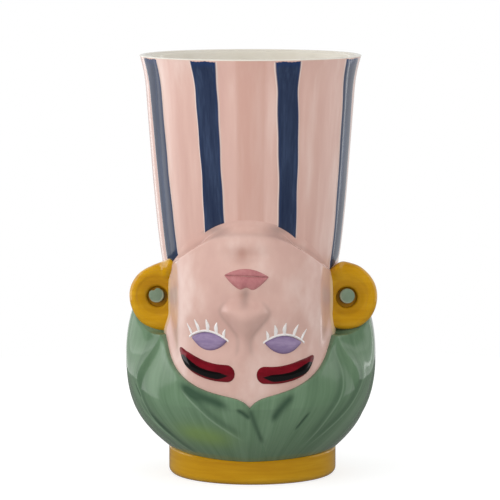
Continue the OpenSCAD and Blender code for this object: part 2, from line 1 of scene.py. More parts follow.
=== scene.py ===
# %% [markdown]
# # A glazed stoneware vase in the form of an upturned head
# The real vase is one slip casting: clay was poured into a mould, fired, painted with coloured
# glazes, and fired again under a clear gloss. Its neck is the vase's neck, and its hair is the
# bowl. Here each zone of glaze is a piece of its own. The measured solids come first, as a frame,
# and each piece is then modelled finely in the place where the frame has its plain solid.

# %% Load the frame
import bmesh
import bpy
import numpy as np
from mathutils import Matrix, Vector


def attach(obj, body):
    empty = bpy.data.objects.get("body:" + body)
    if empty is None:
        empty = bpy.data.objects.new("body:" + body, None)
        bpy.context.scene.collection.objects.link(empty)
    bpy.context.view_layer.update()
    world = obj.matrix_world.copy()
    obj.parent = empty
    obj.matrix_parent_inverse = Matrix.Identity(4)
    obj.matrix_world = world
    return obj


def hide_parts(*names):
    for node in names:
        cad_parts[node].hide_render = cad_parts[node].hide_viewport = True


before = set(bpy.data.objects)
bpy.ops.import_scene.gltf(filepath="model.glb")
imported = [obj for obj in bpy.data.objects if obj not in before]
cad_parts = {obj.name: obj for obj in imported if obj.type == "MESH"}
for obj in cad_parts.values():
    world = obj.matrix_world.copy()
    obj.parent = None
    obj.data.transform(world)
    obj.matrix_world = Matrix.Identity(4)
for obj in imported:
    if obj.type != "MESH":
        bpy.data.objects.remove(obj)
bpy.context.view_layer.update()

# %% [markdown]
# ## The camera
# A product photograph like this is taken from a few steps away with a long lens, so upright
# edges stay nearly parallel. The eye is a little above the rim, which is why the mouth of the
# vase shows as a thin oval.

# %% Camera
MM = 0.001


def look_at(obj, target):
    """Turns an object so that its -Z axis points at a place."""
    obj.rotation_mode = "QUATERNION"
    obj.rotation_quaternion = (Vector(target) - obj.location).to_track_quat("-Z", "Y")


camera = bpy.data.objects.new("camera", bpy.data.cameras.new("camera"))
bpy.context.scene.collection.objects.link(camera)
camera.data.sensor_width = 36
camera.data.lens = 247.9
camera.location = (0.0888, -2.1181, 0.364)
look_at(camera, (-0.0003, 0, 0.1388))
bpy.context.scene.camera = camera
bpy.context.scene.view_settings.view_transform = "Standard"
print("camera:", camera.data.lens, "mm lens,", round(camera.location.length, 2), "m away")

# %% [markdown]
# ## The shape as formulas
# The whole skin is one surface: a radius for each angle round the axis and each height. Angle 0
# is the middle of the face, heights are in millimetres, and the radii are those of the frame's
# solids. Working on whole arrays at once keeps this quick.

# %% Small helpers for formulas
def sin(deg):
    return np.sin(np.radians(deg))


def cos(deg):
    return np.cos(np.radians(deg))


def clamp(t):
    return np.clip(t, 0, 1)


def smooth(t):
    """Rises from 0 to 1 with a soft start and end."""
    return clamp(t) ** 2 * (3 - 2 * clamp(t))


def mix(a, b, t):
    return a + (b - a) * t


def bump(a, z, at, size):
    """A soft round hill of height 1 at a place on the face, with its half-widths."""
    return np.exp(-(((a - at[0]) / size[0]) ** 2) - ((z - at[1]) / size[1]) ** 2)


def place(radius, deg, z):
    """Radius, angle and height in millimetres as points in metres."""
    radius, deg, z = np.broadcast_arrays(radius, deg, z)
    return np.stack([radius * sin(deg), -radius * cos(deg), z], axis=-1) * MM


print("10 mm out, towards the viewer's right:", place(10, 90, 0).round(4), "m")

# %% Neck and foot
VASE_H = 260
WALL = 5
LIP_T = 3.2
WAIST_R, WAIST_Z = 54.5, 134
NECK_TOP_R = 65.9
LIP_FLARE, FLARE_H = 2.6, 22
HEM_Z = 127
BAND_R, BAND_H, BAND_ROUND = 51.8, 14, 4
FLOOR_T = 6


def neck_r(z):
    """Outer radius of the neck: a taper that flares a little at the lip."""
    up = clamp((z - WAIST_Z) / (VASE_H - WAIST_Z))
    flare = clamp((z - VASE_H + FLARE_H) / FLARE_H)
    return WAIST_R + (NECK_TOP_R - WAIST_R) * up**0.75 + LIP_FLARE * flare**2


def neck_inner_r(z):
    return neck_r(z) - mix(WALL, LIP_T, smooth((z - VASE_H + FLARE_H) / FLARE_H))


print("neck radius at waist and lip:", neck_r(WAIST_Z), neck_r(VASE_H))

# %% Head and hair
HAIR_R, HAIR_Z, HAIR_UP = 77.4, 75, 80
HAIR_POWER = 2.1
# how far below its widest place the hair's curve would close, so that it meets the band's edge
AT_BAND = (BAND_R - 0.2) / HAIR_R
HAIR_DOWN = (HAIR_Z - BAND_H) / (1 - AT_BAND**HAIR_POWER) ** (1 / HAIR_POWER)
HAIR_RISE = 3
CROWN_Z = 50
FACE_DEPTH, TEMPLE_R = 69.5, 54.2
HEAD_POWER = 2.15


def hair_r(z):
    """Greatest radius of the hair at a height, before its locks."""
    t = np.where(z > HAIR_Z, (z - HAIR_Z) / HAIR_UP, (HAIR_Z - z) / HAIR_DOWN)
    return HAIR_R * (1 - clamp(t) ** HAIR_POWER) ** (1 / HAIR_POWER)


def band_top(deg):
    """Upper edge of the foot band, which was painted a little higher at the sides."""
    return BAND_H + 0.7 + np.where(deg < 0, 3.3, 2.4) * abs(sin(deg)) ** 1.4


def foot_shift(deg, z):
    """The foot stands a little to the viewer's right of the axis."""
    return 1.2 * sin(deg) * (1 - smooth((z - BAND_H) / 22))


def crown_r(z):
    return hair_r(z) - HAIR_RISE * smooth((z - BAND_H) / 25)


def crown(z):
    """How the bare head closes in under the hair."""
    return np.where(z < CROWN_Z, crown_r(z) / crown_r(np.float64(CROWN_Z)), 1)


def head_r(deg, z):
    """The bare head: an oval section, narrow at the temples."""
    width = TEMPLE_R + (FACE_DEPTH - TEMPLE_R) * smooth((88 - z) / 60)
    depth = FACE_DEPTH - 3 * smooth((z - 125) / 28)
    oval = (abs(sin(deg)) / width) ** HEAD_POWER + (abs(cos(deg)) / depth) ** HEAD_POWER
    return crown(z) * oval ** (-1 / HEAD_POWER)


print("head half-depth and half-width:", head_r(0, 90).round(1), head_r(90, 90).round(1))

# %% [markdown]
# ## The face's forms
# The nose, the cheeks, the eye sockets and the folds are soft hills and hollows added to the
# radius. Their places are measured along the skin from the middle line, and the whole face is
# turned by a couple of degrees, as on the real piece.

# %% Forms of the face
ARC_R = 66
FACE_LEAN = 2.4
NOSE_X = -0.6
# half-width and height of the nose at some heights, from its bridge to its tip
NOSE_OUTLINE = (
    (80, 5.2), (84, 3.8), (90, 3.4), (94, 4.2), (98, 7.4),
    (101, 9.6), (105, 13), (109, 14), (113, 12), (116, 9),
)
NOSE_HEIGHT = (
    (76, 0), (83, 0.9), (89, 1.8), (94, 3.2), (98, 5.0), (102, 6.9),
    (105.5, 8.1), (109, 7.6), (112, 4.7), (114.5, 1.2), (117, 0),
)
# height of each form, its place across and up, its half-widths, and whether it is on both sides
FACE_FORMS = {
    "wings of the nose": (1.5, (9.2, 110), (3.8, 3.4), True),
    "eye sockets": (-2.6, (22, 90), (11, 8), True),
    "cheeks": (1.6, (27, 110), (14, 13), True),
    "mound of the mouth": (2.0, (0, 127.5), (15, 8), False),
    "hollow under the lip": (-1.8, (0, 141), (10, 4), False),
    "chin": (1.6, (0, 149), (14, 5), False),
    "groove from nose to lip": (-0.7, (0, 118), (2.2, 4), False),
}


def rolled(a, z):
    """A place on the face, which leans down towards the viewer's right, as a place on the skin."""
    return a, z - a * np.tan(np.radians(FACE_LEAN))


def unrolled(a, z):
    return a, z + a * np.tan(np.radians(FACE_LEAN))


def drawn(at, points, soft=1.6):
    """A value read off a drawn line of points, with its corners softened."""
    places, values = zip(*points)
    return sum(np.interp(at + soft * k, places, values) for k in (-1, -0.5, 0, 0.5, 1)) / 5


def nose(a, z):
    across = clamp(abs(a - NOSE_X) / drawn(z, NOSE_OUTLINE))
    return drawn(z, NOSE_HEIGHT) * (1 - across**2) ** 1.2


def relief(deg, z):
    """Height of all the modelled forms of the face over the bare head."""
    a, h = unrolled(np.radians(deg) * ARC_R, z)
    total = nose(a, h)
    for height, at, size, on_both in FACE_FORMS.values():
        total = total + height * bump(abs(a) if on_both else a, h, at, size)
    return total


print("nose:", relief(0, 105).round(1), "mm high, with", len(FACE_FORMS), "more forms")

# %% [markdown]
# ## From the head to the neck
# The head is upturned, so its jaw is at the top, where the oval gives way to the round neck. On
# the real vase that is one soft slope of clay with a crease at its foot. Two circles seen from
# the front mark the crease and the top of the throat, and the radius slides from one form to
# the other between them. The hollow inside does the same, a wall's thickness further in.

# %% Jaw and skin
JAW_R, JAW_Z = 53, 110
CREASE_R, CREASE_Z = 61.3, 92.7
THROAT_R, THROAT_Z = 40.8, 121.7
TEMPLE_LEFT, TEMPLE_RIGHT, TEMPLE_TURN = 52.9, 54.6, 74.8


def circle_top(x, radius, z):
    """Height of the upper half of a circle seen from the front."""
    return z + np.sqrt(np.maximum(0, radius**2 - x**2))


def head_share(x, z):
    """How much of the head shows: none on the neck, all below the crease under the jaw."""
    crease = circle_top(x, CREASE_R, CREASE_Z)
    slope_top = np.maximum(crease + 2.4, circle_top(x, THROAT_R, THROAT_Z))
    return smooth((slope_top - z) / (slope_top - crease))


def jaw_share(x, z, fold):
    """The same for the hollow inside, with a longer slope below the jaw's round edge."""
    inside = JAW_R - np.hypot(x, np.maximum(0, z - JAW_Z))
    below = smooth((JAW_Z - z) / 15 * 10 / fold)
    return smooth(inside / fold + 2 * below)


def temple_cut(deg, z, radius):
    """The side of the face is flatter than an oval, and turns back sharply beside the cheek."""
    temple = np.where(deg < 0, TEMPLE_LEFT, TEMPLE_RIGHT)
    plane = temple / np.maximum(cos(abs(deg) - TEMPLE_TURN), 0.3)
    # what stands past the plane, with the corner rounded over half a millimetre
    over = 0.5 * np.logaddexp(0, (radius - plane) / 0.5)
    return np.where(abs(deg) > 30, over, 0) * smooth((z - hairline(deg)) / 14)


def blended(radius, deg, z):
    return mix(neck_r(z), radius, head_share(radius * sin(deg), z))


def skin_r(deg, z):
    bare = head_r(deg, z)
    return blended(bare - temple_cut(deg, z, bare) + relief(deg, z), deg, z)


def plain_r(deg, z):
    return blended(head_r(deg, z), deg, z)


def inside_r(deg, z):
    """Radius of the hollow: a wall's thickness in from the neck, the face and the hair."""
    neck_in = neck_r(z) - WALL
    bare = head_r(deg, z)
    face_in = jaw_share(bare * sin(deg), z, 26) * (bare - 6 - neck_in)
    back_in = smooth((HEM_Z - z) / 30) * (hair_r(z) - 8 - neck_in)
    low = smooth((CROWN_Z - z) / (CROWN_Z - BAND_H))
    back = smooth((abs(deg) - 89) / 58)
    return neck_in + mix(face_in, back_in, np.maximum(back, low))


print("wall over the chin:", (head_r(0, 140) - inside_r(0, 140)).round(1), "mm")

# %% [markdown]
# ## Hairline
# The hair is one smooth mass that rises a little over the forehead. Its edge dips to a peak at
# the parting and climbs to the ears, which one short formula gives. The distance from that edge
# later rounds the hair where it meets the skin.

# %% Hairline
PART_DEG, PEAK_Z = 2, 50.5
BACK_DEG = 89


def hairline(deg):
    peak = 6.5 * (1 - np.exp(-abs(deg - PART_DEG) / 4))
    return PEAK_Z + peak + 32.5 * np.minimum(1, abs(deg) / 62) ** 2.05


def line_gap(deg, z):
    """Distance below the hairline, measured square to it."""
    step = 2 * np.radians(1) * ARC_R
    slope = (hairline(abs(deg) + 1) - hairline(abs(deg) - 1)) / step
    return (hairline(deg) - z) / np.hypot(1, slope)


def part_deg(z):
    """The parting leans to the viewer's right as it goes down."""
    return PART_DEG + 12.5 * clamp((PEAK_Z - z) / (PEAK_Z - BAND_H)) ** 1.2


print("hairline at the peak and at the temple:", hairline(PART_DEG), hairline(60).round(1))

# %% [markdown]
# ## Locks
# A few raised locks sweep from the sides to the parting. A lock's edge is a low step, paler
# along its crest, where glaze drew thin and a highlight is painted, and darker at its foot,
# where pooled glaze and a painted shade lie. Short hollows were cut between the locks, and
# painted shade darkens them. The locks could be sculpted by hand, but a line of a few points,
# given as angle and height, is easier to move until it sits right. The distance to that line
# shapes the surface, and later tints the glaze.

# %% Distance to a drawn line
HAIR_ARC = 74


def rounded(points):
    """The same line with its corners cut twice, so that it bends softly."""
    for _ in range(2):
        cut = [points[0]]
        for (ax, ay), (bx, by) in zip(points, points[1:]):
            cut.append((0.75 * ax + 0.25 * bx, 0.75 * ay + 0.25 * by))
            cut.append((0.25 * ax + 0.75 * bx, 0.25 * ay + 0.75 * by))
        points = cut + [points[-1]]
    return points


def to_line(deg, z, points):
    """Distance to a line, its side (positive to the left of its run), and the run from 0 to 1."""
    x, y = np.radians(deg) * HAIR_ARC, z
    pts = rounded([(np.radians(d) * HAIR_ARC, h) for d, h in points])
    lengths = [np.hypot(b[0] - a[0], b[1] - a[1]) for a, b in zip(pts, pts[1:])]
    best = np.full(np.shape(x + y), 1e9)
    side, run = np.zeros_like(best), np.zeros_like(best)
    done = 0
    for a, b, length in zip(pts, pts[1:], lengths):
        dx, dy = (b[0] - a[0]) / length, (b[1] - a[1]) / length
        along = np.clip((x - a[0]) * dx + (y - a[1]) * dy, 0, length)
        far = np.hypot(x - a[0] - along * dx, y - a[1] - along * dy)
        closer = far < best
        best = np.where(closer, far, best)
        side = np.where(closer, np.sign(dx * (y - a[1]) - dy * (x - a[0])), side)
        run = np.where(closer, (done + along) / sum(lengths), run)
        done += length
    return best, side, run


print("from a level line to a place 3 mm over it:", to_line(0, 3, [(-9, 0), (9, 0)])[0].round(2), "mm")

# %% Locks of the front
# the points of each lock's edge, and on which side of its run the lock is high
LOCK_EDGES = {
    "left_outer": (
        [
            (-74, 104), (-71.3, 88.6), (-68.1, 75.5), (-62.9, 61.5), (-59.1, 45), (-52, 33.4),
            (-38.8, 21.4),
        ],
        -1,
    ),
    "left_inner": ([(-66, 52), (-61.8, 43), (-51.5, 34), (-42.2, 21.8), (-31.6, 15.9)], -1),
    "left_front": ([(-35, 62), (-29.1, 56), (-22.9, 50), (-17.7, 43.5), (-9.3, 36), (-0.5, 29)], -1),
    "right_outer": (
        [(76, 104), (72.7, 89.1), (69.6, 76.1), (66.4, 62.4), (59.4, 48.5), (47, 35.1), (34.8, 21.7)],
        1,
    ),
    "right_inner": (
        [(58, 92), (57.1, 82), (57.2, 72.6), (51.9, 57.9), (43.8, 43.9), (38, 31.6), (31.7, 21.7)],
        1,
    ),
}
# the points of each hollow, its half-width and its depth
HOLLOWS = {
    "left_crescent": ([(-38, 65), (-30, 60.5), (-22, 57), (-13, 53.5), (-5, 48.5)], 3.4, 0.3),
    "right_leaf": ([(25, 59), (20.5, 55), (15.3, 48), (12.4, 40)], 2.8, 0.5),
    "right_slit": ([(32.5, 47.8), (28.8, 41.7), (25, 34.9)], 0.9, 0.8),
    "left_slit": ([(-66, 60), (-63.5, 56), (-61, 51)], 0.8, 0.5),
    "peak_notch": ([(-5, 50), (-1, 47.6), (2.6, 43)], 1.5, 1.0),
}


def ends(run):
    """Fades a lock's edge in and out at its ends."""
    return smooth(run / 0.18) * smooth((1 - run) / 0.22)


def lock_forms(deg, z):
    """Height of the locks, their painted shade, and their pale crests, partly painted highlight."""
    height, pool_and_painted_dark, thin_glaze_and_painted_light = np.zeros_like(deg), np.zeros_like(deg), np.zeros_like(deg)
    for points, high_side in LOCK_EDGES.values():
        far, side, run = to_line(deg, z, points)
        out = far * side * high_side
        # a low swelling on the high side and a hollow on the other, each about 5 mm wide
        step = 0.3 * np.exp(-((out - 1.4) / 3.2) ** 2) - 0.24 * np.exp(-((out + 2.2) / 2.8) ** 2)
        # the locks grow out of the smooth side of the head as they come forward
        grown = ends(run) * mix(0.25, 1, smooth((78 - z) / 26))
        height += step * grown
        # the crest is paler, partly thin glaze and partly a painted highlight, and the foot gets
        # painted shade
        thin_glaze_and_painted_light += 0.8 * np.exp(-(((out - 0.4) / 0.5) ** 2)) * grown
        pool_and_painted_dark += 0.5 * np.exp(-(((out + 2.2) / 2.4) ** 2)) * grown
    for points, half, depth in HOLLOWS.values():
        far, side, run = to_line(deg, z, points)
        width = half * (0.25 + 0.75 * np.sqrt(np.clip(4 * run * (1 - run), 0, 1)))
        dent = np.exp(-((far / width) ** 2)) * smooth(4 * run) * smooth(4 * (1 - run))
        height -= depth * dent
        # painted shade darkens each hollow
        pool_and_painted_dark += dent
    return height, np.clip(pool_and_painted_dark, 0, 1), np.clip(thin_glaze_and_painted_light, 0, 1)


print("locks:", len(LOCK_EDGES), "edges and", len(HOLLOWS), "hollows")


# %% Surface of the hair
def swept(deg, z):
    """The angle that a strand at this place has further up, before it sweeps forward."""
    return deg + 45 * clamp((85 - z) / 67) ** 2 * sin(deg)


def hair_at(deg, z):
    """Outer radius of the hair, with its painted shade and its pale crests, partly painted highlight.
    """
    lifted = (band_top(deg) - BAND_H) * (1 - smooth((z - BAND_H) / 30))
    full = hair_r(z - lifted)
    dip = 1 - (1 - smooth(line_gap(deg, z) / 28)) * (1 - smooth((abs(deg) - 56) / 33))
    low = smooth((CROWN_Z - z) / (CROWN_Z - BAND_H))
    height, pool_and_painted_dark, thin_glaze_and_painted_light = lock_forms(deg, z)
    # behind the ears the locks are even waves, one for every 18 degrees
    back = smooth((abs(deg) - 72) / 16) * smooth((z - BAND_H) / 25)
    wave = abs(sin(swept(deg, z) * 10))
    full = full + back * 1.2 * (wave - 0.5) + height * smooth((z - BAND_H) / 12)
    # painted shade in the troughs of the waves
    pool_and_painted_dark = np.maximum(pool_and_painted_dark, 0.7 * back * (1 - wave) ** 3)
    by_face = np.minimum(full, plain_r(deg, z) + HAIR_RISE + 0.5 * height)
    body = mix(by_face, full, np.maximum(dip, low))
    # at the nape the hair rounds in to the neck over its last 9 mm
    hem = clamp((z - HEM_Z + 9) / 9)
    radius = mix(body, WAIST_R + 1.6, 1 - np.sqrt(1 - hem * hem))
    return radius + foot_shift(deg, z), pool_and_painted_dark, thin_glaze_and_painted_light


widest = hair_at(np.float64(80), np.float64(HAIR_Z))[0]
print("hair at the side, where it is widest:", widest.round(1), "mm")

# %% [markdown]
# ## The glazes
# Every zone is brushed underglaze colour under one clear, glossy glaze. What the eye sees is the
# brush: streaks a few millimetres wide where the colour lies thicker or thinner, a darker tone
# where glaze ran together, and a paler one where it drew thin. Shade and light are painted in
# as well: a greyer tone in the hollows and folds is painted shade, and some pale lines and
# patches are painted highlights and painted reflections. The gloss is the same everywhere, with
# the faint unevenness of melted glass. Each glaze is given the size of one brush mark in
# millimetres, so (9, 9, 90) is a mark 9 mm wide and 90 mm long.

# %% Colours and nodes
def colour(code, alpha=1):
    """An sRGB hex code as the linear colour that Blender works with."""
    parts = [int(code[i : i + 2], 16) / 255 for i in (1, 3, 5)]
    return [c / 12.92 if c <= 0.04045 else ((c + 0.055) / 1.055) ** 2.4 for c in parts] + [alpha]


def add(tree, kind, links=None, values=None, **settings):
    """Adds a node, with its settings, its fixed values and what is linked to its inputs."""
    made = tree.nodes.new(kind)
    for key, value in settings.items():
        setattr(made, key, value)
    for key, value in (values or {}).items():
        made.inputs[key].default_value = value
    for key, socket in (links or {}).items():
        tree.links.new(socket, made.inputs[key])
    return made


def set_stops(ramp, stops):
    """Gives a colour ramp its stops, as pairs of place and hex code."""
    elements = ramp.color_ramp.elements
    while len(elements) > len(stops):
        elements.remove(elements[-1])
    while len(elements) < len(stops):
        elements.new(1)
    for element, (at, code) in zip(elements, stops):
        element.position, element.color = at, colour(code)


print("middle grey as linear light:", round(colour("#808080")[0], 3))


# %% Brushed colour
def glaze(
    name, deep, base, pale, streak, pooled_and_painted_dark=None, bared_and_painted_light=None, tinted=None, brushed=False, fine=0.34
):
    """Brushed colour under clear glaze. streak is the size of a brush mark in millimetres."""
    material = bpy.data.materials.new(name)
    material.use_nodes = True
    tree = material.node_tree
    tree.nodes.clear()
    if brushed:
        coord = add(tree, "ShaderNodeAttribute", attribute_name="brush").outputs["Vector"]
    else:
        coord = add(tree, "ShaderNodeTexCoord").outputs["Object"]
    per_metre = [1000 / s for s in streak]
    laid = add(tree, "ShaderNodeMapping", {"Vector": coord}, {"Scale": per_metre})
    # a stroke is two marks wide, and the lines of single brush hairs are finer than a mark
    wide = add(
        tree, "ShaderNodeTexNoise", {"Vector": laid.outputs[0]},
        {"Scale": 0.5, "Detail": 3, "Roughness": 0.55},
    )
    hairs = add(
        tree, "ShaderNodeTexNoise", {"Vector": laid.outputs[0]},
        {"Scale": 2.6, "Detail": 4, "Roughness": 0.6},
    )
    blend = add(tree, "ShaderNodeMix", {"A": wide.outputs[0], "B": hairs.outputs[0]}, {"Factor": fine})
    # the noise stays mostly within this much of its middle value
    spread = 0.2
    tone = add(tree, "ShaderNodeValToRGB", {"Fac": blend.outputs[0]})
    set_stops(tone, [(0.5 - spread, deep), (0.5, base), (0.5 + spread, pale)])
    shade = tone.outputs[0]
    # the kept numbers mix in pooled glaze and painted shade, thin glaze and painted light, and stronger
    # colour
    for attribute, code in (("tint", tinted), ("pool_and_painted_dark", pooled_and_painted_dark), ("thin_glaze_and_painted_light", bared_and_painted_light)):
        if code:
            amount = add(tree, "ShaderNodeAttribute", attribute_name=attribute).outputs["Fac"]
            mixed = add(tree, "ShaderNodeMix", {"Factor": amount, "A": shade}, data_type="RGBA")
            mixed.inputs["B"].default_value = colour(code)
            shade = mixed.outputs["Result"]
    return material, tree, shade, hairs


# %% Clear glaze over it
def clear_coat(coloured, gloss=0.12, wave_mm=14, wave=0.3):
    """Ends a glaze with the glossy shader and the slight waviness of melted glass."""
    material, tree, shade, hairs = coloured
    coord = add(tree, "ShaderNodeTexCoord").outputs["Object"]
    ripple = add(tree, "ShaderNodeTexNoise", {"Vector": coord}, {"Scale": 1000 / wave_mm, "Detail": 2})
    soft = add(
        tree, "ShaderNodeBump", {"Height": ripple.outputs[0]}, {"Strength": wave, "Distance": 0.5 * MM}
    )
    marks = add(
        tree, "ShaderNodeBump", {"Height": hairs.outputs[0], "Normal": soft.outputs[0]},
        {"Strength": 0.1, "Distance": 0.2 * MM},
    )
    # glaze is glass, so its IOR is 1.5
    shader = add(
        tree,
        "ShaderNodeBsdfPrincipled",
        {"Base Color": shade, "Normal": marks.outputs[0]},
        {"Roughness": gloss, "IOR": 1.5, "Coat Weight": 0.1, "Coat Roughness": 0.04},
    )
    add(tree, "ShaderNodeOutputMaterial", {"Surface": shader.outputs[0]})
    return material


# %% The colours on the vase
# thin pink in long upright strokes: soft streaks, painted shade in the folds, and a painted yellow
# reflection of the earrings by the ears
skin = clear_coat(
    glaze(
        "brushed_pink_glaze", "#d1a89d", "#dbb5a9", "#e9cdc3", (9, 9, 90),
        pooled_and_painted_dark="#ab9189", bared_and_painted_light="#f7dcb2", tinted="#c49384", brushed=True, fine=0.2,
    ),
    gloss=0.17,
)
# navy pulled down with a flat brush: fine lines, bluer where it pooled, and bare skin at the edges
navy = clear_coat(
    glaze(
        "brushed_navy_glaze", "#202b45", "#2c3852", "#3f4e6b", (3, 3, 60),
        pooled_and_painted_dark="#22355c", bared_and_painted_light="#dfc8be",
    )
)
# cream was poured in and out again, so it has no brush marks, only slow changes of tone
cream = clear_coat(glaze("cream_liner_glaze", "#e2dbcd", "#eae4d7", "#f0ebe0", (30, 30, 30)))
# sage brushed along the strands: long lines, painted shade in the hollows, and grey-green crests,
# partly painted highlight
sage = clear_coat(
    glaze(
        "brushed_sage_glaze", "#5c785c", "#6a8669", "#799578", (6, 70, 70),
        pooled_and_painted_dark="#3f5844", bared_and_painted_light="#93a991", tinted="#7f9a55", brushed=True,
    )
)
# mustard brushed round the foot: level bands a few millimetres high, and painted shade in the earrings'
# dishes
mustard = clear_coat(
    glaze("brushed_mustard_glaze", "#c08604", "#d09a10", "#ddac26", (60, 60, 5), pooled_and_painted_dark="#9a6604")
)
# a single drop of green on each stud, with a painted highlight along its lower rim
teal = clear_coat(
    glaze("stud_green_glaze", "#728873", "#81957f", "#91a58e", (6, 6, 6), bared_and_painted_light="#b9c9b8")
)
# rose dabbed on the lips, with a little painted shade along their parting
rose = clear_coat(
    glaze("rose_lip_glaze", "#ad6c70", "#bf7f80", "#cc9593", (5, 5, 5), pooled_and_painted_dark="#8f4a52")
)
# lavender stroked across the lids, darker where it gathered at their rims
lavender = clear_coat(
    glaze("lavender_lid_glaze", "#806d97", "#927ea1", "#ad9ab9", (14, 14, 4), pooled_and_painted_dark="#6a5280")
)
# white slip is liquid clay, so it is nearly even
white = clear_coat(glaze("white_slip", "#eae2de", "#f4efec", "#fbf8f7", (4, 4, 4)))
# maroon so thick that it melted smooth, with a near-black lens that is a painted reflection of the dark
# room
maroon = clear_coat(
    glaze("maroon_glaze_painted_reflection", "#5c0814", "#740c1b", "#881526", (12, 12, 4), pooled_and_painted_dark="#070505"),
    gloss=0.06,
)
print("glazes:", len(bpy.data.materials))

# %% [markdown]
# ## Bare stoneware
# The foot's underside was wiped clean before firing, so it shows the fired clay: matt, warm grey
# and speckled with grog. The frame's own floor has the right shape, so it only gets its material.

# %% Bare stoneware
def bare_clay():
    material = bpy.data.materials.new("unglazed_stoneware")
    material.use_nodes = True
    tree = material.node_tree
    tree.nodes.clear()
    coord = add(tree, "ShaderNodeTexCoord").outputs["Object"]
    # clouds of tone some 17 mm across, and a speck of grog every millimetre and a half
    cloud = add(tree, "ShaderNodeTexNoise", {"Vector": coord}, {"Scale": 60, "Detail": 5})
    tone = add(tree, "ShaderNodeValToRGB", {"Fac": cloud.outputs[0]})
    set_stops(tone, [(0.35, "#c9bca8"), (0.65, "#dccfbd")])
    specks = add(tree, "ShaderNodeTexVoronoi", {"Vector": coord}, {"Scale": 700})
    dots = add(tree, "ShaderNodeValToRGB", {"Fac": specks.outputs["Distance"]})
    set_stops(dots, [(0.1, "#9a8a76"), (0.22, "#ffffff")])
    both = add(
        tree, "ShaderNodeMix", {"A": tone.outputs[0], "B": dots.outputs[0]},
        data_type="RGBA", blend_type="MULTIPLY",
    )
    both.inputs["Factor"].default_value = 0.6
    grain = add(
        tree, "ShaderNodeBump", {"Height": specks.outputs["Distance"]},
        {"Strength": 0.3, "Distance": 0.2 * MM},
    )
    shader = add(
        tree, "ShaderNodeBsdfPrincipled",
        {"Base Color": both.outputs["Result"], "Normal": grain.outputs[0]}, {"Roughness": 0.85},
    )
    add(tree, "ShaderNodeOutputMaterial", {"Surface": shader.outputs[0]})
    return material


floor_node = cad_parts["vase_floor"]
floor_node.data.materials.clear()
floor_node.data.materials.append(bare_clay())
print("vase_floor keeps its solid, in", floor_node.data.materials[0].name)

# %% [markdown]
# ## From a formula to a closed piece
# A flat grid is extruded once, which gives a thin closed slab. Its two faces are then laid on the
# outer and the inner surface by formula, so every piece has a real wall. Each vertex keeps its
# own across and along share, so the formulas know where it belongs.

# %% Meshes and the numbers kept on them
def finish_mesh(name, bm):
    """Makes the object of a bmesh, smooth, at the origin."""
    mesh = bpy.data.meshes.new(name)
    bm.to_mesh(mesh)
    bm.free()
    mesh.polygons.foreach_set("use_smooth", [True] * len(mesh.polygons))
    piece = bpy.data.objects.new(name, mesh)
    bpy.context.scene.collection.objects.link(piece)
    return piece


def points_of(mesh):
    co = np.empty(len(mesh.vertices) * 3)
    mesh.vertices.foreach_get("co", co)
    return co.reshape(-1, 3)


def values_of(mesh, name):
    data = np.empty(len(mesh.vertices))
    mesh.attributes[name].data.foreach_get("value", data)
    return data


def store(mesh, name, values):
    """Keeps one number for each vertex, for a material to read."""
    layer = mesh.attributes.get(name) or mesh.attributes.new(name, "FLOAT", "POINT")
    layer.data.foreach_set("value", np.asarray(values, dtype=np.float32))


def keep_brush(mesh, points):
    """Keeps a place for each vertex in which the brush marks are laid, in metres."""
    layer = mesh.attributes.new("brush", "FLOAT_VECTOR", "POINT")
    layer.data.foreach_set("vector", np.asarray(points, dtype=np.float32).ravel())


# %% Shells
def shell(name, cols, rows, outer, inner):
    """A closed wall. outer and inner turn the shares u, v of each vertex into points."""
    bm = bmesh.new()
    bmesh.ops.create_grid(bm, x_segments=cols, y_segments=rows, size=0.5)
    share_u = bm.verts.layers.float.new("u")
    share_v = bm.verts.layers.float.new("v")
    is_outer = bm.verts.layers.float.new("outer")
    for vert in bm.verts:
        vert[share_u], vert[share_v] = vert.co.x + 0.5, vert.co.y + 0.5
    made = bmesh.ops.extrude_face_region(bm, geom=bm.faces[:])
    for vert in made["geom"]:
        if isinstance(vert, bmesh.types.BMVert):
            vert[is_outer] = 1
    piece = finish_mesh(name, bm)
    mesh = piece.data
    u, v, out = values_of(mesh, "u"), values_of(mesh, "v"), values_of(mesh, "outer")
    co = np.where(out[:, None] > 0.5, outer(u, v), inner(u, v))
    mesh.vertices.foreach_set("co", co.ravel())
    mesh.update()
    mesh.set_sharp_from_angle(angle=np.radians(50))
    return piece


def weld(piece, gap=0.00002):
    """Joins points that lie together, as where a shell goes all the way round or a pad ends."""
    bm = bmesh.new()
    bm.from_mesh(piece.data)
    bmesh.ops.remove_doubles(bm, verts=bm.verts, dist=gap)
    # end walls that now stand back to back inside the shell aren't needed
    between = [f for f in bm.faces if sum(len(e.link_faces) > 2 for e in f.edges) >= 2]
    bmesh.ops.delete(bm, geom=between, context="FACES")
    bm.to_mesh(piece.data)
    bm.free()


# %% Dressing a piece
def ready(piece, material, slot, *nodes):
    """Dresses a piece, ties it to the body and lets it stand for its plain solids."""
    piece.data.materials.append(material)
    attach(piece, "root")
    if nodes:
        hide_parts(*nodes)
    print(piece.name, "-", len(piece.data.polygons), "faces")
    return piece

# %% [markdown]
# ## The neck
# A thrown or cast neck is never quite even, so its radius wavers by a few tenths of a
# millimetre. Below, it stops where the face's round jaw begins, and at the sides and back it
# ends at the hem of the hair.

# %% Neck
LIP_CAP_H = 0.8


def hand(deg, z):
    """The slight unevenness of a hand-finished neck, in millimetres."""
    return 0.18 * sin(2 * deg + 40) * smooth((z - 150) / 60) + 0.12 * sin(3 * deg + z * 1.7)


def neck_skin(deg, z):
    return neck_r(z) + hand(deg, z) * smooth((z - 165) / 30)


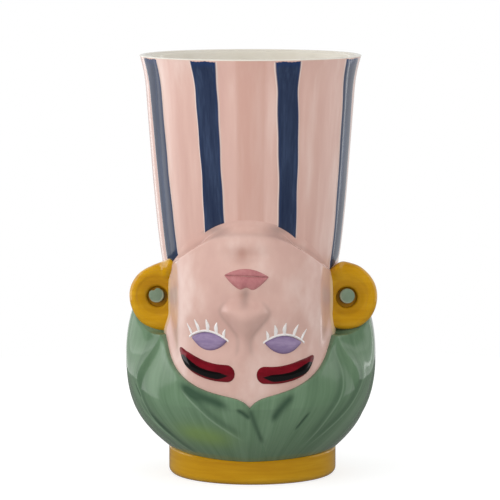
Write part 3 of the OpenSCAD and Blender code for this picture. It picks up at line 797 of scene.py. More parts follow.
def jaw_edge_z(deg, radius_at):
    """Height of the jaw's round edge at an angle, found in a few steps as the radius changes."""
    z = np.full(np.shape(deg), float(JAW_Z))
    for _ in range(4):
        x = np.where(abs(deg) < BACK_DEG, radius_at(z) * sin(deg), JAW_R)
        z = JAW_Z + np.sqrt(np.maximum(0, JAW_R**2 - x**2))
    return z


def neck_low(deg):
    return np.maximum(jaw_edge_z(deg, neck_r), HEM_Z)


def neck_outer(u, v):
    deg = mix(-180, 180, u)
    z = mix(neck_low(deg), VASE_H - LIP_CAP_H, v)
    return place(neck_skin(deg, z), deg, z)


def neck_inner(u, v):
    deg = mix(-180, 180, u)
    z = mix(np.maximum(jaw_edge_z(deg, neck_inner_r), HEM_Z), VASE_H - LIP_CAP_H, v)
    return place(neck_inner_r(z), deg, z)


neck = shell("neck_glazed", 300, 90, neck_outer, neck_inner)
weld(neck)
keep_brush(neck.data, points_of(neck.data))
# one broad stroke of stronger pink runs down the middle of the neck
deg = mix(-180, 180, values_of(neck.data, "u"))
store(neck.data, "tint", 0.48 * smooth((deg + 6.5) / 2.5) * smooth((12 - deg) / 2.5))
ready(neck, skin, "skin_glaze", "neck_wall")

# %% [markdown]
# ## The lining of the neck
# Inside, the vase is glazed cream, and the cream runs over the lip. This part is round, so it
# could be turned like a pot: a profile of the inside and the rounded lip is spun on the axis.

# %% Spun pieces
def turned(profile, steps, closed):
    """Spins a profile of radius and height round the upright axis."""
    bm = bmesh.new()
    verts = [bm.verts.new((r * MM, 0, z * MM)) for r, z in profile]
    ends = verts[1:] + verts[:1] if closed else verts[1:]
    edges = [bm.edges.new((a, b)) for a, b in zip(verts, ends)]
    bmesh.ops.spin(
        bm, geom=verts + edges, cent=(0, 0, 0), axis=(0, 0, 1), angle=2 * np.pi, steps=steps,
        use_merge=True,
    )
    bmesh.ops.remove_doubles(bm, verts=bm.verts, dist=0.000005)
    bmesh.ops.recalc_face_normals(bm, faces=bm.faces)
    if bm.calc_volume(signed=True) < 0:
        bmesh.ops.reverse_faces(bm, faces=bm.faces)
    return bm


def arc(centre, radii, start, end, steps=10):
    """Points of a rounded edge, from one angle to another."""
    turn = np.linspace(start, end, steps + 1)
    return [(centre[0] + radii[0] * cos(t), centre[1] + radii[1] * sin(t)) for t in turn]


print("points on a quarter round:", len(arc((0, 0), (4, 4), 0, 90)))

# %% Lining of the neck
LINING_T = 0.8
lip_z = VASE_H - LIP_CAP_H
lining_low = JAW_Z + JAW_R + 0.6
lip_mid = neck_r(lip_z) - LIP_T / 2
heights = np.linspace(lining_low, lip_z, 60)
profile = [(neck_inner_r(z) + 0.05, z) for z in heights]
profile += reversed(arc((lip_mid, lip_z), (LIP_T / 2 + 0.05, LIP_CAP_H), 0, 180))
profile += [(neck_inner_r(z) - LINING_T - 0.3, z) for z in reversed(heights)]
lining = finish_mesh("neck_cream_lining", turned(profile, 240, closed=True))
ready(lining, cream, "cream_glaze", "neck_lining")

# %% [markdown]
# ## The lining of the bowl
# The same glaze covers the hollow of the head, down to its floor. That hollow follows the face
# and the hair, so it isn't round and can't be spun. It is laid on the inner formula instead, a
# glaze's thickness clear of the wall.

# %% Lining of the bowl
FLOOR_SHARE = 0.16


def bowl_side(gap, floor_z):
    """The hollow's side, and below FLOOR_SHARE its floor, which runs in to the axis."""
    def surface(u, v):
        deg = mix(-180, 180, u)
        z = mix(floor_z, JAW_Z + JAW_R + 0.4, clamp((v - FLOOR_SHARE) / (1 - FLOOR_SHARE)))
        radius = (inside_r(deg, np.maximum(z, BAND_H)) - gap) * clamp(v / FLOOR_SHARE)
        return place(radius, deg, z)
    return surface


bowl = shell(
    "bowl_cream_lining", 180, 90,
    bowl_side(LINING_T, FLOOR_T + 0.3), bowl_side(2 * LINING_T, FLOOR_T + 0.3 + LINING_T),
)
weld(bowl)
ready(bowl, cream, "cream_glaze", "bowl_lining")

# %% [markdown]
# ## The stripes
# Each navy stripe was pulled down the neck with a flat brush loaded with glaze, so it stands a
# little proud, its sides waver, and its upper end is ragged. Those in front stop where the jaw
# or the earring begins.

# %% Places of the stripes
# the angles of each stripe's middle at its lower end and at the lip, and its half-width
STRIPES = (
    (-57.5, -63, 7.2), (-19.7, -22.6, 6.1), (25, 21.8, 5.8), (72.5, 69.5, 7.6),
    (116.4, 115, 6.8), (161.8, 160, 6.8), (207.2, 206, 6.8), (252.6, 251, 6.8),
)
# the bare skin that shows along a stripe, in degrees
HALO = 0.75
print("stripes:", len(STRIPES))


# %% Surface of a stripe
def slope_top_z(deg):
    """Height at which the neck starts to swell into the throat, at an angle of the neck."""
    x = WAIST_R * 1.03 * sin(deg)
    return np.maximum(circle_top(x, CREASE_R, CREASE_Z) + 2.4, circle_top(x, THROAT_R, THROAT_Z))


def stripe_surface(order, lift, edge_lift):
    at_foot, at_lip, half_width = STRIPES[order - 1]

    def surface(u, v):
        side = 2 * u - 1
        # the brush started unevenly at the lip, spread there, and its sides waver below
        ragged = 0.8 * abs(sin(side * 160 + order * 77)) + 0.5 * abs(sin(side * 700 + order * 31))
        top = VASE_H - LIP_CAP_H - 0.15 - 0.6 * ragged
        half = half_width + HALO + 1.1 * smooth((v - 0.8) / 0.2)
        half = half + 0.22 * sin(v * 500 + order * 50) + 0.14 * sin(v * 1300 + order * 90)
        deg = mix(at_foot, at_lip, v**1.3) + side * half
        # in front a stripe stops at the slope of the throat or the earring, behind at the hair
        drop = 5.5 * (1 - u) if order == 4 else 0
        in_front = abs(at_foot) < BACK_DEG
        low = np.maximum(slope_top_z(deg) + 0.6, 134.7 - drop) if in_front else HEM_Z + 0.3
        z = mix(low, top, v)
        dome = (1 - side**8) * (1 - (2 * v - 1) ** 60)
        return place(neck_skin(deg, z) + mix(edge_lift, lift, dome), deg, z)
    return surface


print("top of the throat's slope at 20 degrees:", slope_top_z(20).round(1), "mm up")

# %% Stripes
for order, (_, _, half_width) in enumerate(STRIPES, 1):
    name = f"stripe_{order}_brushed"
    stripe = shell(
        name, 32, 120, stripe_surface(order, 0.6, 0.03), stripe_surface(order, -0.5, -0.5)
    )
    u, v = values_of(stripe.data, "u"), values_of(stripe.data, "v")
    edge = abs(2 * u - 1) * (half_width + HALO) - half_width
    store(stripe.data, "thin_glaze_and_painted_light", smooth((edge + 0.15) / 0.3))
    store(stripe.data, "pool_and_painted_dark", 0.8 * smooth((v - 0.955) / 0.04) + 0.5 * smooth((edge + 1.6) / 1.2))
    ready(stripe, navy, "navy_glaze", f"stripe_{order}")

# %% [markdown]
# ## The face
# The face is a fine shell laid on the skin's formula. It runs a little way under the hair, so no
# gap shows at the hairline, and its upper edge meets the neck along the jaw.

# %% Face
def face_deg(u):
    side = 2 * u - 1
    return np.sign(side) * BACK_DEG * abs(side) ** 1.1


def face_surface(radius_at, edge_at, tuck):
    def surface(u, v):
        deg = face_deg(u)
        top = np.maximum(jaw_edge_z(deg, edge_at), HEM_Z - 0.3)
        z = mix(hairline(deg) - tuck, top, v)
        return place(radius_at(deg, z), deg, z)
    return surface


TUCK = 1.5
face = shell(
    "face_glazed", 240, 190,
    face_surface(skin_r, neck_r, TUCK), face_surface(inside_r, neck_inner_r, TUCK),
)
print("face:", len(face.data.vertices), "points")


# %% [markdown]
# ## Painted shade and light on the face
# Shade in each fold is painted into the glaze as a greyer tone, the earrings' yellow light is
# painted on the flat beside each ear, and the painter laid more pink on the chin. A picture of
# all this could be painted by hand. Here the painted shade round the nose and along the jaw is
# worked out from the lines that shape them, so it follows when they change. The spots in the
# other folds are placed one by one.

# %% Painted shade and light on the face
def creases(mesh):
    """Painted shade: a greyer tone in the folds of the nose, the mouth and the throat."""
    co = points_of(mesh) / MM
    x, z = co[:, 0], co[:, 2]
    deg = np.degrees(np.arctan2(x, -co[:, 1]))
    a, h = unrolled(np.radians(deg) * ARC_R, z)
    outline = abs(a - NOSE_X) - drawn(h, NOSE_OUTLINE)
    by_nose = np.exp(-(((outline - 0.3) / 1.3) ** 2)) * smooth((h - 80) / 6) * smooth((117 - h) / 5)
    # painted shade round the nose, under its tip, and in the groove from there to the lip
    dark = 0.32 * by_nose + 0.5 * bump(a, h, (NOSE_X, 114), (2.6, 3.2))
    dark += 0.15 * bump(a, h, (0, 139.5), (8, 2)) + 0.35 * bump(a, h, (0, 121), (3, 4))
    dark += 0.4 * bump(a, h, (0.3, 119), (1.8, 3.2))
    # painted shade along the crease of the jaw, and in the two dents of the throat
    crease = z - circle_top(neck_r(z) * sin(deg), CREASE_R, CREASE_Z)
    across = abs(neck_r(z) * sin(deg))
    dark += 0.22 * np.exp(-(((crease - 1.2) / 1.4) ** 2)) * smooth((52 - across) / 6)
    dark += 0.7 * bump(abs(x), z, (20, 157), (8, 3))
    store(mesh, "pool_and_painted_dark", np.clip(dark, 0, 1))
    # stronger pink on the chin and over the lip
    pink = 0.7 * bump(a, h, (-2.5, 143), (3.4, 5)) + 0.5 * bump(a, h, (-1, 118.5), (3, 3))
    store(mesh, "tint", pink)
    # painted light: a yellower tone on the flat beside each ear, where the earring's colour is mirrored
    beside = smooth((abs(deg) - 61) / 7) * smooth((z - 84) / 8) * smooth((132 - z) / 6)
    store(mesh, "thin_glaze_and_painted_light", beside)


creases(face.data)
# the strokes on the face are wider and shorter than on the neck
keep_brush(face.data, points_of(face.data) * (0.6, 0.6, 4))
ready(face, skin, "skin_glaze", "face")

# %% [markdown]
# ## The hair
# Each half of the hair is a shell from the parting to the seam at the back. The brush marks
# follow the strands, so the piece keeps a strand coordinate that the glaze reads.

# %% Edges of the hair
EARRING_R, EARRING_Z = 22.3, 112
EARRING_X = {-1: 52.3, 1: 56.4}
HAIR_COLS, EAR_COL = 260, 150


def under_earring(side, deg):
    """Height of the earring's lower edge over the hair at an angle."""
    out = np.maximum(0, mix(60, 76, smooth((deg - 62) / 26)) * sin(deg) - EARRING_X[side])
    return EARRING_Z - np.sqrt(np.maximum(0, EARRING_R**2 - out**2)) - 0.4


def hair_top(side, deg):
    """Top of one half: the hairline, then the earring's edge, and behind the ear the hem."""
    front = hairline(side * deg)
    front = mix(front, np.maximum(front, under_earring(side, deg)), smooth((deg - 64) / 12))
    return np.where(deg < BACK_DEG, front, HEM_Z)


edge_80 = under_earring(-1, np.float64(80)).round(1)
print("edge of the left earring at 80 degrees:", edge_80, "mm up")


# %% Surface of the hair's halves
def hair_column(side, u, z):
    """Angle of a column, which leans with the parting. Two columns lie close at the ear's step."""
    column = np.round(u * HAIR_COLS)
    start = side * part_deg(z)
    front = mix(start, BACK_DEG - 0.02, column / EAR_COL)
    back = mix(BACK_DEG + 0.02, 180, (column - EAR_COL - 1) / (HAIR_COLS - EAR_COL - 1))
    return np.where(column <= EAR_COL, front, back)


def hair_grid(side, thick):
    def surface(u, v):
        v = 1 - (1 - v) ** 1.3
        deg = hair_column(side, u, np.full_like(u, float(PEAK_Z)))
        for _ in range(3):
            top = hair_top(side, deg)
            z = mix(BAND_H if thick else band_top(side * deg), top, v)
            deg = hair_column(side, u, z)
        edge = clamp(1 - (top - z) / 2.5)
        if thick:
            radius = inside_r(side * deg, z)
        else:
            # rounded at its upper edge, and let in along the parting
            radius = hair_at(side * deg, z)[0] - 1.25 * (1 - np.sqrt(1 - edge * edge))
            seam = smooth((deg - side * part_deg(z)) / 3.2)
            radius = radius - 0.9 * (1 - seam) * smooth((z - 20) / 8)
        return place(radius, side * deg, z)
    return surface


print("columns in each half of the hair:", HAIR_COLS, "with", EAR_COL, "in front of the ear")


# %% Strands and their glaze
def strands(mesh, side):
    """Stores the strand coordinate, the painted shade and the pale crests, partly painted highlight."""
    co = points_of(mesh) / MM
    deg, z = np.degrees(np.arctan2(co[:, 0], -co[:, 1])), co[:, 2]
    deg = np.where(side * deg < -90, deg + side * 360, deg)
    radius, pool_and_painted_dark, thin_glaze_and_painted_light = hair_at(deg, z)
    # painted shade along the parting
    part = np.exp(-(((side * deg - side * part_deg(z)) / 1.3) ** 2))
    part = part * smooth((52 - z) / 5) * smooth((z - 26) / 6)
    store(mesh, "pool_and_painted_dark", np.clip(pool_and_painted_dark + 0.8 * part, 0, 1))
    store(mesh, "thin_glaze_and_painted_light", 0.6 * thin_glaze_and_painted_light)
    # a patch where the green is thin and yellow shows through
    a = np.radians(deg) * HAIR_ARC
    patch = bump(a, z, (-36, 33), (14, 6)) + 0.7 * bump(a, z, (-20, 30), (12, 6))
    store(mesh, "tint", 0.75 * np.clip(patch, 0, 1))
    across = np.radians(swept(deg, z)) * HAIR_ARC
    keep_brush(mesh, np.stack([across, z, side * 50 + 0 * z], axis=-1) * MM)


# %% Hair
SIDES = ((-1, "left"), (1, "right"))
for side, name in SIDES:
    half = shell(f"hair_{name}_glazed", HAIR_COLS, 130, hair_grid(side, False), hair_grid(side, True))
    if side < 0:
        half.data.flip_normals()
    strands(half.data, side)
    ready(half, sage, "hair_glaze", f"hair_{name}")

# %% [markdown]
# ## The foot band
# The band is a plain ring with a rounded lower edge, brushed round with mustard glaze. It is
# turned from a profile. The brush didn't follow the hair's edge exactly, so the ring's upper
# edge is then moved to where the paint ends.

# %% Foot band
# the inside of the band carries on the inside of the hair, whose wall is 8 mm thick there
foot_in = inside_r(180, BAND_H)
profile = [(foot_in, BAND_H), (foot_in, 0.0)]
profile += arc((BAND_R - BAND_ROUND, BAND_ROUND), (BAND_ROUND, BAND_ROUND), -90, 0)
profile += [(BAND_R, z) for z in np.linspace(BAND_ROUND + 1, BAND_H, 9)]
band = finish_mesh("foot_band_glazed", turned(profile, 240, closed=True))
for vert in band.data.vertices:
    radius = vert.co.xy.length / MM
    deg = float(np.degrees(np.arctan2(vert.co.x, -vert.co.y)))
    # only the outside of the ring moves
    if radius > 46:
        height = vert.co.z / MM
        height += (band_top(deg) - BAND_H) * clamp((height - BAND_ROUND) / (BAND_H - BAND_ROUND))
        vert.co = place(radius + foot_shift(deg, BAND_H), deg, height)
ready(band, mustard, "mustard_glaze", "foot_band")

# %% [markdown]
# ## The earrings
# An earring is a thick disc with a rounded rim and a stepped dish round its stud. The disc is
# spun, stood upright, and cut where it meets the side of the head.

# %% Outlines of the earrings
EARRING_FRONT, EARRING_BACK = 20, 1.65
STUD_X = {-1: 57.4, 1: 60.5}
DISH_DEPTH = 4.2
# each outline is the disc's reach at some angles: 0 points away from the head and 90 up
EARRING_OUTLINES = {
    -1: (
        (-120, 1.0), (-89, 0.985), (-71, 1.01), (-55, 1.01), (-38, 0.995), (-26, 0.985),
        (1, 0.985), (14, 0.98), (26, 0.96), (38, 0.945), (50, 0.92), (63, 0.9),
        (80, 0.92), (90, 0.98), (98, 1.09), (104, 1.15), (109, 1.12), (130, 1.0),
    ),
    1: (
        (-120, 0.86), (-98, 0.89), (-78, 0.93), (-62, 0.97), (-50, 0.985), (-37, 1.005),
        (-10, 1.0), (21, 0.995), (33, 0.985), (46, 0.975), (59, 0.98), (75, 0.965),
        (91, 0.99), (104, 0.88), (113, 0.83), (125, 0.82),
    ),
}
print("earrings:", 2 * EARRING_R, "mm across,", EARRING_FRONT - EARRING_BACK, "mm thick")


# %% Profile of an earring
def earring_profile():
    """From the middle of the back, round the rim, over the broad ring and down into the dish."""
    thick = EARRING_FRONT - EARRING_BACK
    points = [(0, 0), (8, 0), (14, 0), (EARRING_R - 1.5, 0)]
    points += arc((EARRING_R - 1.5, 1.5), (1.5, 1.5), -90, 0, 4)
    points += arc((EARRING_R - 4, thick - 4.2), (4, 4), 0, 78, 10)
    points += [(17.0, thick - 0.03), (15.2, thick - 0.08), (13.8, thick - 0.22), (12.6, thick - 0.6)]
    points += [(11.4, thick - 1.1), (10.2, thick - 1.4), (9.2, thick - 1.5), (8.2, thick - 1.6)]
    points += [(7.3, thick - 1.85), (6.7, thick - 2.3), (6.2, thick - 3.1), (6.0, thick - DISH_DEPTH)]
    points += [(3, thick - DISH_DEPTH), (0, thick - DISH_DEPTH)]
    return points


print("points in the profile of an earring:", len(earring_profile()))


# %% Shaping a disc
def stood_up(bm, x, back):
    """Turns a piece spun about Z to face the viewer, and moves it to the ear."""
    move = Matrix.Translation((x * MM, -back * MM, EARRING_Z * MM))
    bmesh.ops.transform(bm, matrix=move @ Matrix.Rotation(np.pi / 2, 4, "X"), verts=bm.verts)


def lean_in(x, y, depth, side):
    """The earrings face a little out and up, so what lies deeper lies nearer the face and lower."""
    return x - side * 0.2 * depth, y - 0.16 * depth


def shaped_disc(bm, side):
    """Gives the disc its hand-cut outline, and moves its dish out to the stud."""
    outline = EARRING_OUTLINES[side]
    tip_height = 10 if side < 0 else 6
    for vert in bm.verts:
        x, y, z = (c / MM for c in vert.co)
        radius = np.hypot(vert.co.x, vert.co.y) / MM
        reach = drawn(np.degrees(np.arctan2(y, side * x)), outline, 4)
        grow = mix(1, reach, float(smooth((radius - 10.5) / 10)))
        # the back is narrower at the top, and the dish sits off the middle
        grow *= 1 - 0.12 * float(smooth((10 - z) / 9) * smooth((y + 6) / 8))
        shift = (STUD_X[side] - EARRING_X[side]) * (1 - float(smooth((radius - 10.5) / 11)))
        depth = EARRING_FRONT - EARRING_BACK - z
        x, y = lean_in(x * grow + side * shift, y * grow, depth if radius < 11 else 0, side)
        vert.co.x, vert.co.y = x * MM, y * MM
        if vert.co.z > 0:
            # the front leans back towards its outer edge, and comes forward at the upper tip
            tip = tip_height * float(smooth((y - 9) / 11) * smooth((3 - side * x) / 7))
            vert.co.z += (tip - 0.12 * max(0, side * x)) * MM * min(1, vert.co.z / (10 * MM))


print("a place 4 mm deep in the right dish moves by", lean_in(0, 0, 4, 1), "mm")


# %% Making an earring
def make_earring(side, name):
    """Spins, shapes, stands up and cuts one disc, and keeps where painted shade darkens its dish."""
    bm = turned(earring_profile(), 120, closed=False)
    shaped_disc(bm, side)
    stood_up(bm, side * EARRING_X[side], EARRING_BACK)
    cut = bmesh.ops.bisect_plane(
        bm, geom=bm.verts[:] + bm.edges[:] + bm.faces[:],
        plane_co=Vector((side * 50.6, 0, EARRING_Z)) * MM,
        plane_no=Vector((side * 20, -3.8, 1.6)).normalized(), clear_inner=True,
    )
    rim = [g for g in cut["geom_cut"] if isinstance(g, bmesh.types.BMEdge)]
    bmesh.ops.contextual_create(bm, geom=rim)
    earring = finish_mesh(f"earring_{name}_glazed", bm)
    earring.data.set_sharp_from_angle(angle=np.radians(50))
    co = points_of(earring.data) / MM
    from_stud = np.hypot(co[:, 0] - side * (STUD_X[side] - 0.8), co[:, 2] - EARRING_Z + 0.5)
    # painted shade round the stud and in the dish
    pool_and_painted_dark = 0.45 * smooth((7.0 - from_stud) / 1.0) + 0.35 * smooth((12.0 - from_stud) / 2)
    store(earring.data, "pool_and_painted_dark", np.clip(pool_and_painted_dark, 0, 1) * (co[:, 1] < -10))
    ready(earring, mustard, "mustard_glaze", f"earring_{name}")


# %% [markdown]
# ## The studs
# A stud is a short peg of clay pressed into the dish, with a drop of green glaze on it. It is
# turned from a profile like the disc. On the left one the glaze drew back at the upper edge and
# left a notch, which a pull on the round outline gives.

# %% Making a stud
STUD_R, STUD_LEN, STUD_UP = 4.6, 4.5, 0.9
NOTCH_DEG, NOTCH = 114, 0.28


def make_stud(side, name):
    edge = arc((STUD_R - 1, STUD_LEN - 1.25), (1, 1.1), 0, 90, 6)
    peg = [(0, 0), (STUD_R, 0), (STUD_R, STUD_LEN - 1.25)]
    bm = turned(peg + edge + [(2, STUD_LEN - 0.05), (0, STUD_LEN)], 96, closed=False)
    for vert in bm.verts:
        x, y, z = (c / MM for c in vert.co)
        turn = np.degrees(np.arctan2(y, x))
        kept = 1 - NOTCH * np.exp(-(((turn - NOTCH_DEG) / 21) ** 2)) if side < 0 else 1
        x, y = lean_in(x * kept, y * kept + STUD_UP, STUD_LEN - z, side)
        vert.co.x, vert.co.y = x * MM, y * MM
    stood_up(bm, side * STUD_X[side], EARRING_FRONT - DISH_DEPTH - 0.2)
    stud = finish_mesh(f"stud_{name}_glazed", bm)
    # a painted highlight: a thin pale line along the lower rim
    co = points_of(stud.data) / MM
    out, up = side * co[:, 0] - STUD_X[side], co[:, 2] - EARRING_Z - STUD_UP
    below = clamp(0.15 + cos(np.degrees(np.arctan2(up, out)) + 130))
    pale = 0.8 * below * np.exp(-(((np.hypot(out, up) - 4.3) / 0.4) ** 2))
    store(stud.data, "thin_glaze_and_painted_light", pale * (co[:, 1] < -18))
    ready(stud, teal, "stud_glaze", f"earring_stud_{name}")


# %% Earrings and studs
for side, name in SIDES:
    make_earring(side, name)
    make_stud(side, name)

# %% [markdown]
# ## Eyelids
# Eyes, brows and mouth are painted thickly over the face, so each one is a raised pad that dies
# into the skin at its edge. A pad is a grid between a lower and an upper curve. The lids come
# first: two full bows of lavender.

# %% Pads on the face
def on_face(a, h, lift):
    """A place on the face by its distance from the middle line and its height."""
    x, z = rolled(a, h)
    deg = np.degrees(x / ARC_R)
    return place(skin_r(deg, z) + lift, deg, z)


def pad(name, first, last, low, high, rise, cols=60, rows=28, power=0.5, side=1):
    """A raised pad between two curves of height over the distance from the middle line."""
    def surface(lift):
        def at(u, v):
            a = mix(first, last, u)
            w = 2 * v - 1
            dome = rise * (1 - w * w) ** power * (1 - (2 * u - 1) ** 4) ** 0.5
            return on_face(side * a, mix(low(a), high(a), v), np.where(lift, dome - 0.1, -0.7))
        return at
    piece = shell(name, cols, rows, surface(True), surface(False))
    weld(piece, 0.000004)
    if side < 0:
        piece.data.flip_normals()
    return piece


print("the middle of the mouth is", round(-on_face(0, 130, 0)[1] / MM, 1), "mm in front of the axis")

# %% Eyelids
LID_X, LID_Z, LID_W = 23, 90.5, 11.9


def lid_bow(a):
    return np.clip(1 - ((a - LID_X) / LID_W) ** 2, 0, 1)


for side, name in SIDES:
    lid = pad(
        f"eyelid_{name}_glazed", LID_X - LID_W, LID_X + LID_W,
        lambda a: LID_Z - 7.0 * lid_bow(a) ** 0.8, lambda a: LID_Z + 3.9 * lid_bow(a) + 0.2,
        2.6, power=0.8, side=side,
    )
    u, v = values_of(lid.data, "u"), values_of(lid.data, "v")
    rim = 1 - (1 - (2 * u - 1) ** 6) * (1 - abs(2 * v - 1) ** 5)
    store(lid.data, "pool_and_painted_dark", 0.8 * rim)
    ready(lid, lavender, "lid_glaze", f"eyelid_{name}")

# %% [markdown]
# ## Lashes
# White slip was trailed in one line along each lid, and five loaded strokes leave that line and
# taper to a point. Each stroke is a small pad of its own, and all of them are joined into one
# piece for each eye.

# %% One lash
LASH_ROOTS = (35, 29.5, 23.3, 17.5, 12.8)
LASH_TIPS = ((38.9, 98.6), (32.1, 101.7), (23.7, 102.7), (16.8, 101.4), (11.9, 97.7))
LASH_HALVES = (1.0, 1.25, 1.35, 1.3, 1.05)


def lash_line(a):
    """The lid's lower edge, where the lashes stand: a shallow bow."""
    return 95.3 - 0.027 * (a - 23.6) ** 2


def lash(name, side, root, tip, widest):
    """One lash: a loaded brush stroke, full in the middle and drawn out to its tip."""
    z0 = lash_line(root) + 0.2

    def surface(lift):
        def at(u, v):
            w = 2 * u - 1
            full = 0.62 + 0.38 * np.sin(np.pi * clamp(v * 1.15))
            half = widest * full * np.sqrt(clamp(1 - v**4 * 0.97))
            bend = 0.5 * np.sin(np.pi * v) * np.sign(tip[0] - root)
            dome = 0.8 * np.sqrt(np.clip(1 - w * w, 0, 1)) * (1 - v**8)
            a = mix(root, tip[0], v) - bend + w * half
            return on_face(side * a, mix(z0, tip[1], v), np.where(lift, dome - 0.1, -0.7))
        return at
    piece = shell(name, 10, 24, surface(True), surface(False))
    if side < 0:
        piece.data.flip_normals()
    return piece


print("lashes:", 2 * len(LASH_ROOTS))


# %% Lashes
def joined(parts, name):
    """Joins several meshes into one object."""
    bm = bmesh.new()
    for part in parts:
        bm.from_mesh(part.data)
        bpy.data.objects.remove(part)
    return finish_mesh(name, bm)


for side, name in SIDES:
    strokes = [
        pad(
            "lash_line", 9.9, 37.6, lambda a: lash_line(a) - 0.9, lambda a: lash_line(a) + 0.75,
            0.9, 60, 8, side=side,
        )
    ]
    for root, tip, widest in zip(LASH_ROOTS, LASH_TIPS, LASH_HALVES):
        strokes.append(lash("lash", side, root, tip, widest))
    ready(joined(strokes, f"lashes_{name}_slip"), white, "lash_slip", f"lashes_{name}")

# %% [markdown]
# ## Brows
# The brows carry the thickest glaze of all. Maroon was laid on full, and the pad gives the
# swelling. A black lens in it is a painted reflection of the dark room in front, and a number
# kept on each point tells the glaze where it lies.

# %% Outline of a brow
BROW_X = 6.2
BROW_LEN = {-1: 40.2, 1: 39.2}


def brow_mid(a, side):
    s = clamp((a - BROW_X) / BROW_LEN[side])
    return 70.7 + 9.6 * clamp((a - 15) / 31) ** 1.8 + 1.5 * smooth((s - 0.82) / 0.18)


def brow_half(a, side):
    s = clamp((a - BROW_X) / BROW_LEN[side])
    blunt = np.sqrt(np.clip(1 - (1 - s / 0.12) ** 2, 0, 1))
    taper = (1 - clamp((s - 0.5) / 0.5) ** 3.4) ** 0.75
    return 5.3 * np.where(s < 0.12, blunt, taper)


print("brows:", BROW_LEN[-1], "and", BROW_LEN[1], "mm long")

# %% Brows
for side, name in SIDES:
    brow = pad(
        f"eyebrow_{name}_glazed", BROW_X, BROW_X + BROW_LEN[side],
        lambda a: brow_mid(a, side) - brow_half(a, side),
        lambda a: brow_mid(a, side) + brow_half(a, side),
        2.3, 110, 36, side=side,
    )
    # the painted black reflection is a lens, pointed at the nose and running out along the lower edge
    u, v = values_of(brow.data, "u"), values_of(brow.data, "v")
    opened = smooth((u - 0.04) / 0.22)
    lower = mix(0.4, 0.13, opened) - 0.1 * smooth((u - 0.55) / 0.35)
    upper = mix(0.4, 0.6, opened) + 0.12 * smooth((u - 0.5) / 0.3) - 0.66 * smooth((u - 0.84) / 0.15)
    store(brow.data, "pool_and_painted_dark", smooth((v - lower) / 0.04) * smooth((upper - v) / 0.05))
    ready(brow, maroon, "brow_glaze", f"eyebrow_{name}")

# %% [markdown]
# ## Mouth
# Two rose pads meet along the parting of the lips. Their outlines are simple curves: a bow with
# a dip for the upper lip, which is below as the head is upturned, and an arc for the lower one.

# %% Mouth
MOUTH_X, MOUTH_Z, MOUTH_W = 0.5, 130.4, 12.7


def upper_edge(a):
    """The upper lip's outline: two peaks with the bow's dip between them."""
    a = a - MOUTH_X
    bow = 9.8 * (1 - (abs(a) / MOUTH_W) ** 1.6) - 3.0 * np.exp(-((a / 2.6) ** 2))
    return MOUTH_Z - 0.1 - np.maximum(0, bow)


def lower_edge(a):
    return MOUTH_Z + 4.4 * np.maximum(0, 1 - (abs(a - MOUTH_X) / MOUTH_W) ** 2)


def lip(name, low, high):
    """A lip's pad, with a little painted shade along the parting."""
    piece = pad(name, MOUTH_X - MOUTH_W, MOUTH_X + MOUTH_W, low, high, 1.5, power=0.7)
    co = points_of(piece.data) / MM
    a, h = unrolled(np.arctan2(co[:, 0], -co[:, 1]) * ARC_R, co[:, 2])
    store(piece.data, "pool_and_painted_dark", 0.12 * np.exp(-(((h - MOUTH_Z) / 0.9) ** 2)))
    ready(piece, rose, "lip_glaze", name.replace("_glazed", ""))


lip("upper_lip_glazed", upper_edge, lambda a: MOUTH_Z + 0 * a)
lip("lower_lip_glazed", lambda a: MOUTH_Z + 0 * a, lower_edge)

# %% [markdown]
# ## Table and background
# The photograph was taken on a white table in front of a white wall. The camera sees that white
# at full strength, while the light from all round that reaches the vase stays plain. In its
# glossy glaze the table and the room round the camera are mirrored darker than they are seen.

# %% Table
def table_material():
    material = bpy.data.materials.new("white_table")
    material.use_nodes = True
    tree = material.node_tree
    tree.nodes.clear()
    top = add(tree, "ShaderNodeBsdfDiffuse", values={"Color": colour("#b4b4b4")})
    lit = add(tree, "ShaderNodeEmission", values={"Color": colour("#ffffff"), "Strength": 0.72})
    seen = add(tree, "ShaderNodeAddShader", {0: top.outputs[0], 1: lit.outputs[0]})
    mirrored = add(tree, "ShaderNodeEmission", values={"Color": colour("#ffffff"), "Strength": 0.18})
    rays = add(tree, "ShaderNodeLightPath")
    glossy = add(
        tree, "ShaderNodeMixShader",
        {0: rays.outputs["Is Glossy Ray"], 1: top.outputs[0], 2: mirrored.outputs[0]},
    )
    both = add(
        tree, "ShaderNodeMixShader",
        {0: rays.outputs["Is Camera Ray"], 1: glossy.outputs[0], 2: seen.outputs[0]},
    )
    add(tree, "ShaderNodeOutputMaterial", {"Surface": both.outputs[0]})
    return material


bm = bmesh.new()
bmesh.ops.create_circle(bm, cap_ends=True, radius=0.55, segments=96)
table = finish_mesh("white_table", bm)
table.data.materials.append(table_material())
print("table: 1.1 m across")

# %% White room
world = bpy.data.worlds.new("white_studio")
world.use_nodes = True
bpy.context.scene.world = world
tree = world.node_tree
tree.nodes.clear()
rays = add(tree, "ShaderNodeLightPath")
seen = add(
    tree, "ShaderNodeMath",
    {0: rays.outputs["Is Camera Ray"], 1: rays.outputs["Is Transmission Ray"]}, operation="MAXIMUM",
)
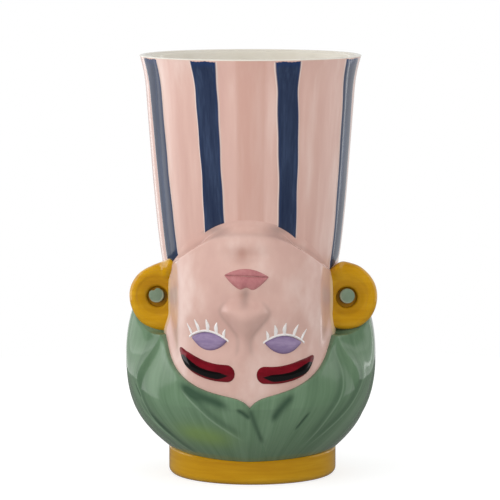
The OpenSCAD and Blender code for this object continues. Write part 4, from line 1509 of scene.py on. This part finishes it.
# mirrored in the glaze, the wall behind the vase is bright and the room in front is dim
toward = add(tree, "ShaderNodeSeparateXYZ", {0: add(tree, "ShaderNodeTexCoord").outputs["Generated"]})
behind = add(
    tree, "ShaderNodeMapRange", {"Value": toward.outputs["Y"]},
    {"From Min": -0.1, "From Max": 0.5, "To Min": 0.08, "To Max": 0.75},
)
level = add(tree, "ShaderNodeMix", {"Factor": rays.outputs["Is Glossy Ray"], "B": behind.outputs[0]})
level.inputs["A"].default_value = 0.68
room = add(tree, "ShaderNodeBackground", {"Strength": level.outputs[0]}, {"Color": colour("#ffffff")})
backdrop = add(tree, "ShaderNodeBackground", values={"Color": colour("#ffffff"), "Strength": 1})
sky = add(tree, "ShaderNodeMixShader", {0: seen.outputs[0], 1: room.outputs[0], 2: backdrop.outputs[0]})
add(tree, "ShaderNodeOutputWorld", {"Surface": sky.outputs[0]})
print("world:", world.name)

# %% [markdown]
# ## Lamps
# A large soft lamp stands at the left and a weaker one at the right. Glossy ware mirrors such
# lamps as broad pale veils, which a photographer turns away with a filter. So the two large
# panels light the ware without being mirrored in it. Two weaker panels at the sides and two
# narrow strips behind the vase are mirrored, as soft bands and bright lines along its edges.

# %% Lamps
def soft_lamp(name, turn, away, low_high, width, radiance, mirrored=True):
    """A tall soft panel. turn is its angle round the vase, from the front to the right."""
    low, high = low_high
    lamp = bpy.data.lights.new(name, "AREA")
    lamp.shape = "RECTANGLE"
    lamp.size, lamp.size_y = width, high - low
    lamp.energy = radiance * np.pi * width * (high - low)
    holder = bpy.data.objects.new(name, lamp)
    middle = (low + high) / 2
    holder.location = (away * sin(turn), -away * cos(turn), middle)
    look_at(holder, (0, 0, middle))
    holder.visible_camera = False
    holder.visible_glossy = mirrored
    bpy.context.scene.collection.objects.link(holder)
    print(name, round(lamp.energy, 1), "W")


soft_lamp("left_panel", -48, 2.0, (-0.9, 1.9), 1.9, 1.6, mirrored=False)
soft_lamp("right_panel", 42, 2.2, (-0.9, 1.7), 1.3, 1.12, mirrored=False)
soft_lamp("left_side_panel", -103, 1.8, (-0.6, 1.6), 1.0, 0.9)
soft_lamp("right_side_panel", 100, 1.8, (-0.6, 1.6), 0.5, 0.5)
soft_lamp("left_edge_strip", -152, 1.6, (-0.4, 1.4), 0.14, 1.3)
soft_lamp("right_edge_strip", 130, 1.6, (-0.4, 1.4), 0.12, 1.8)
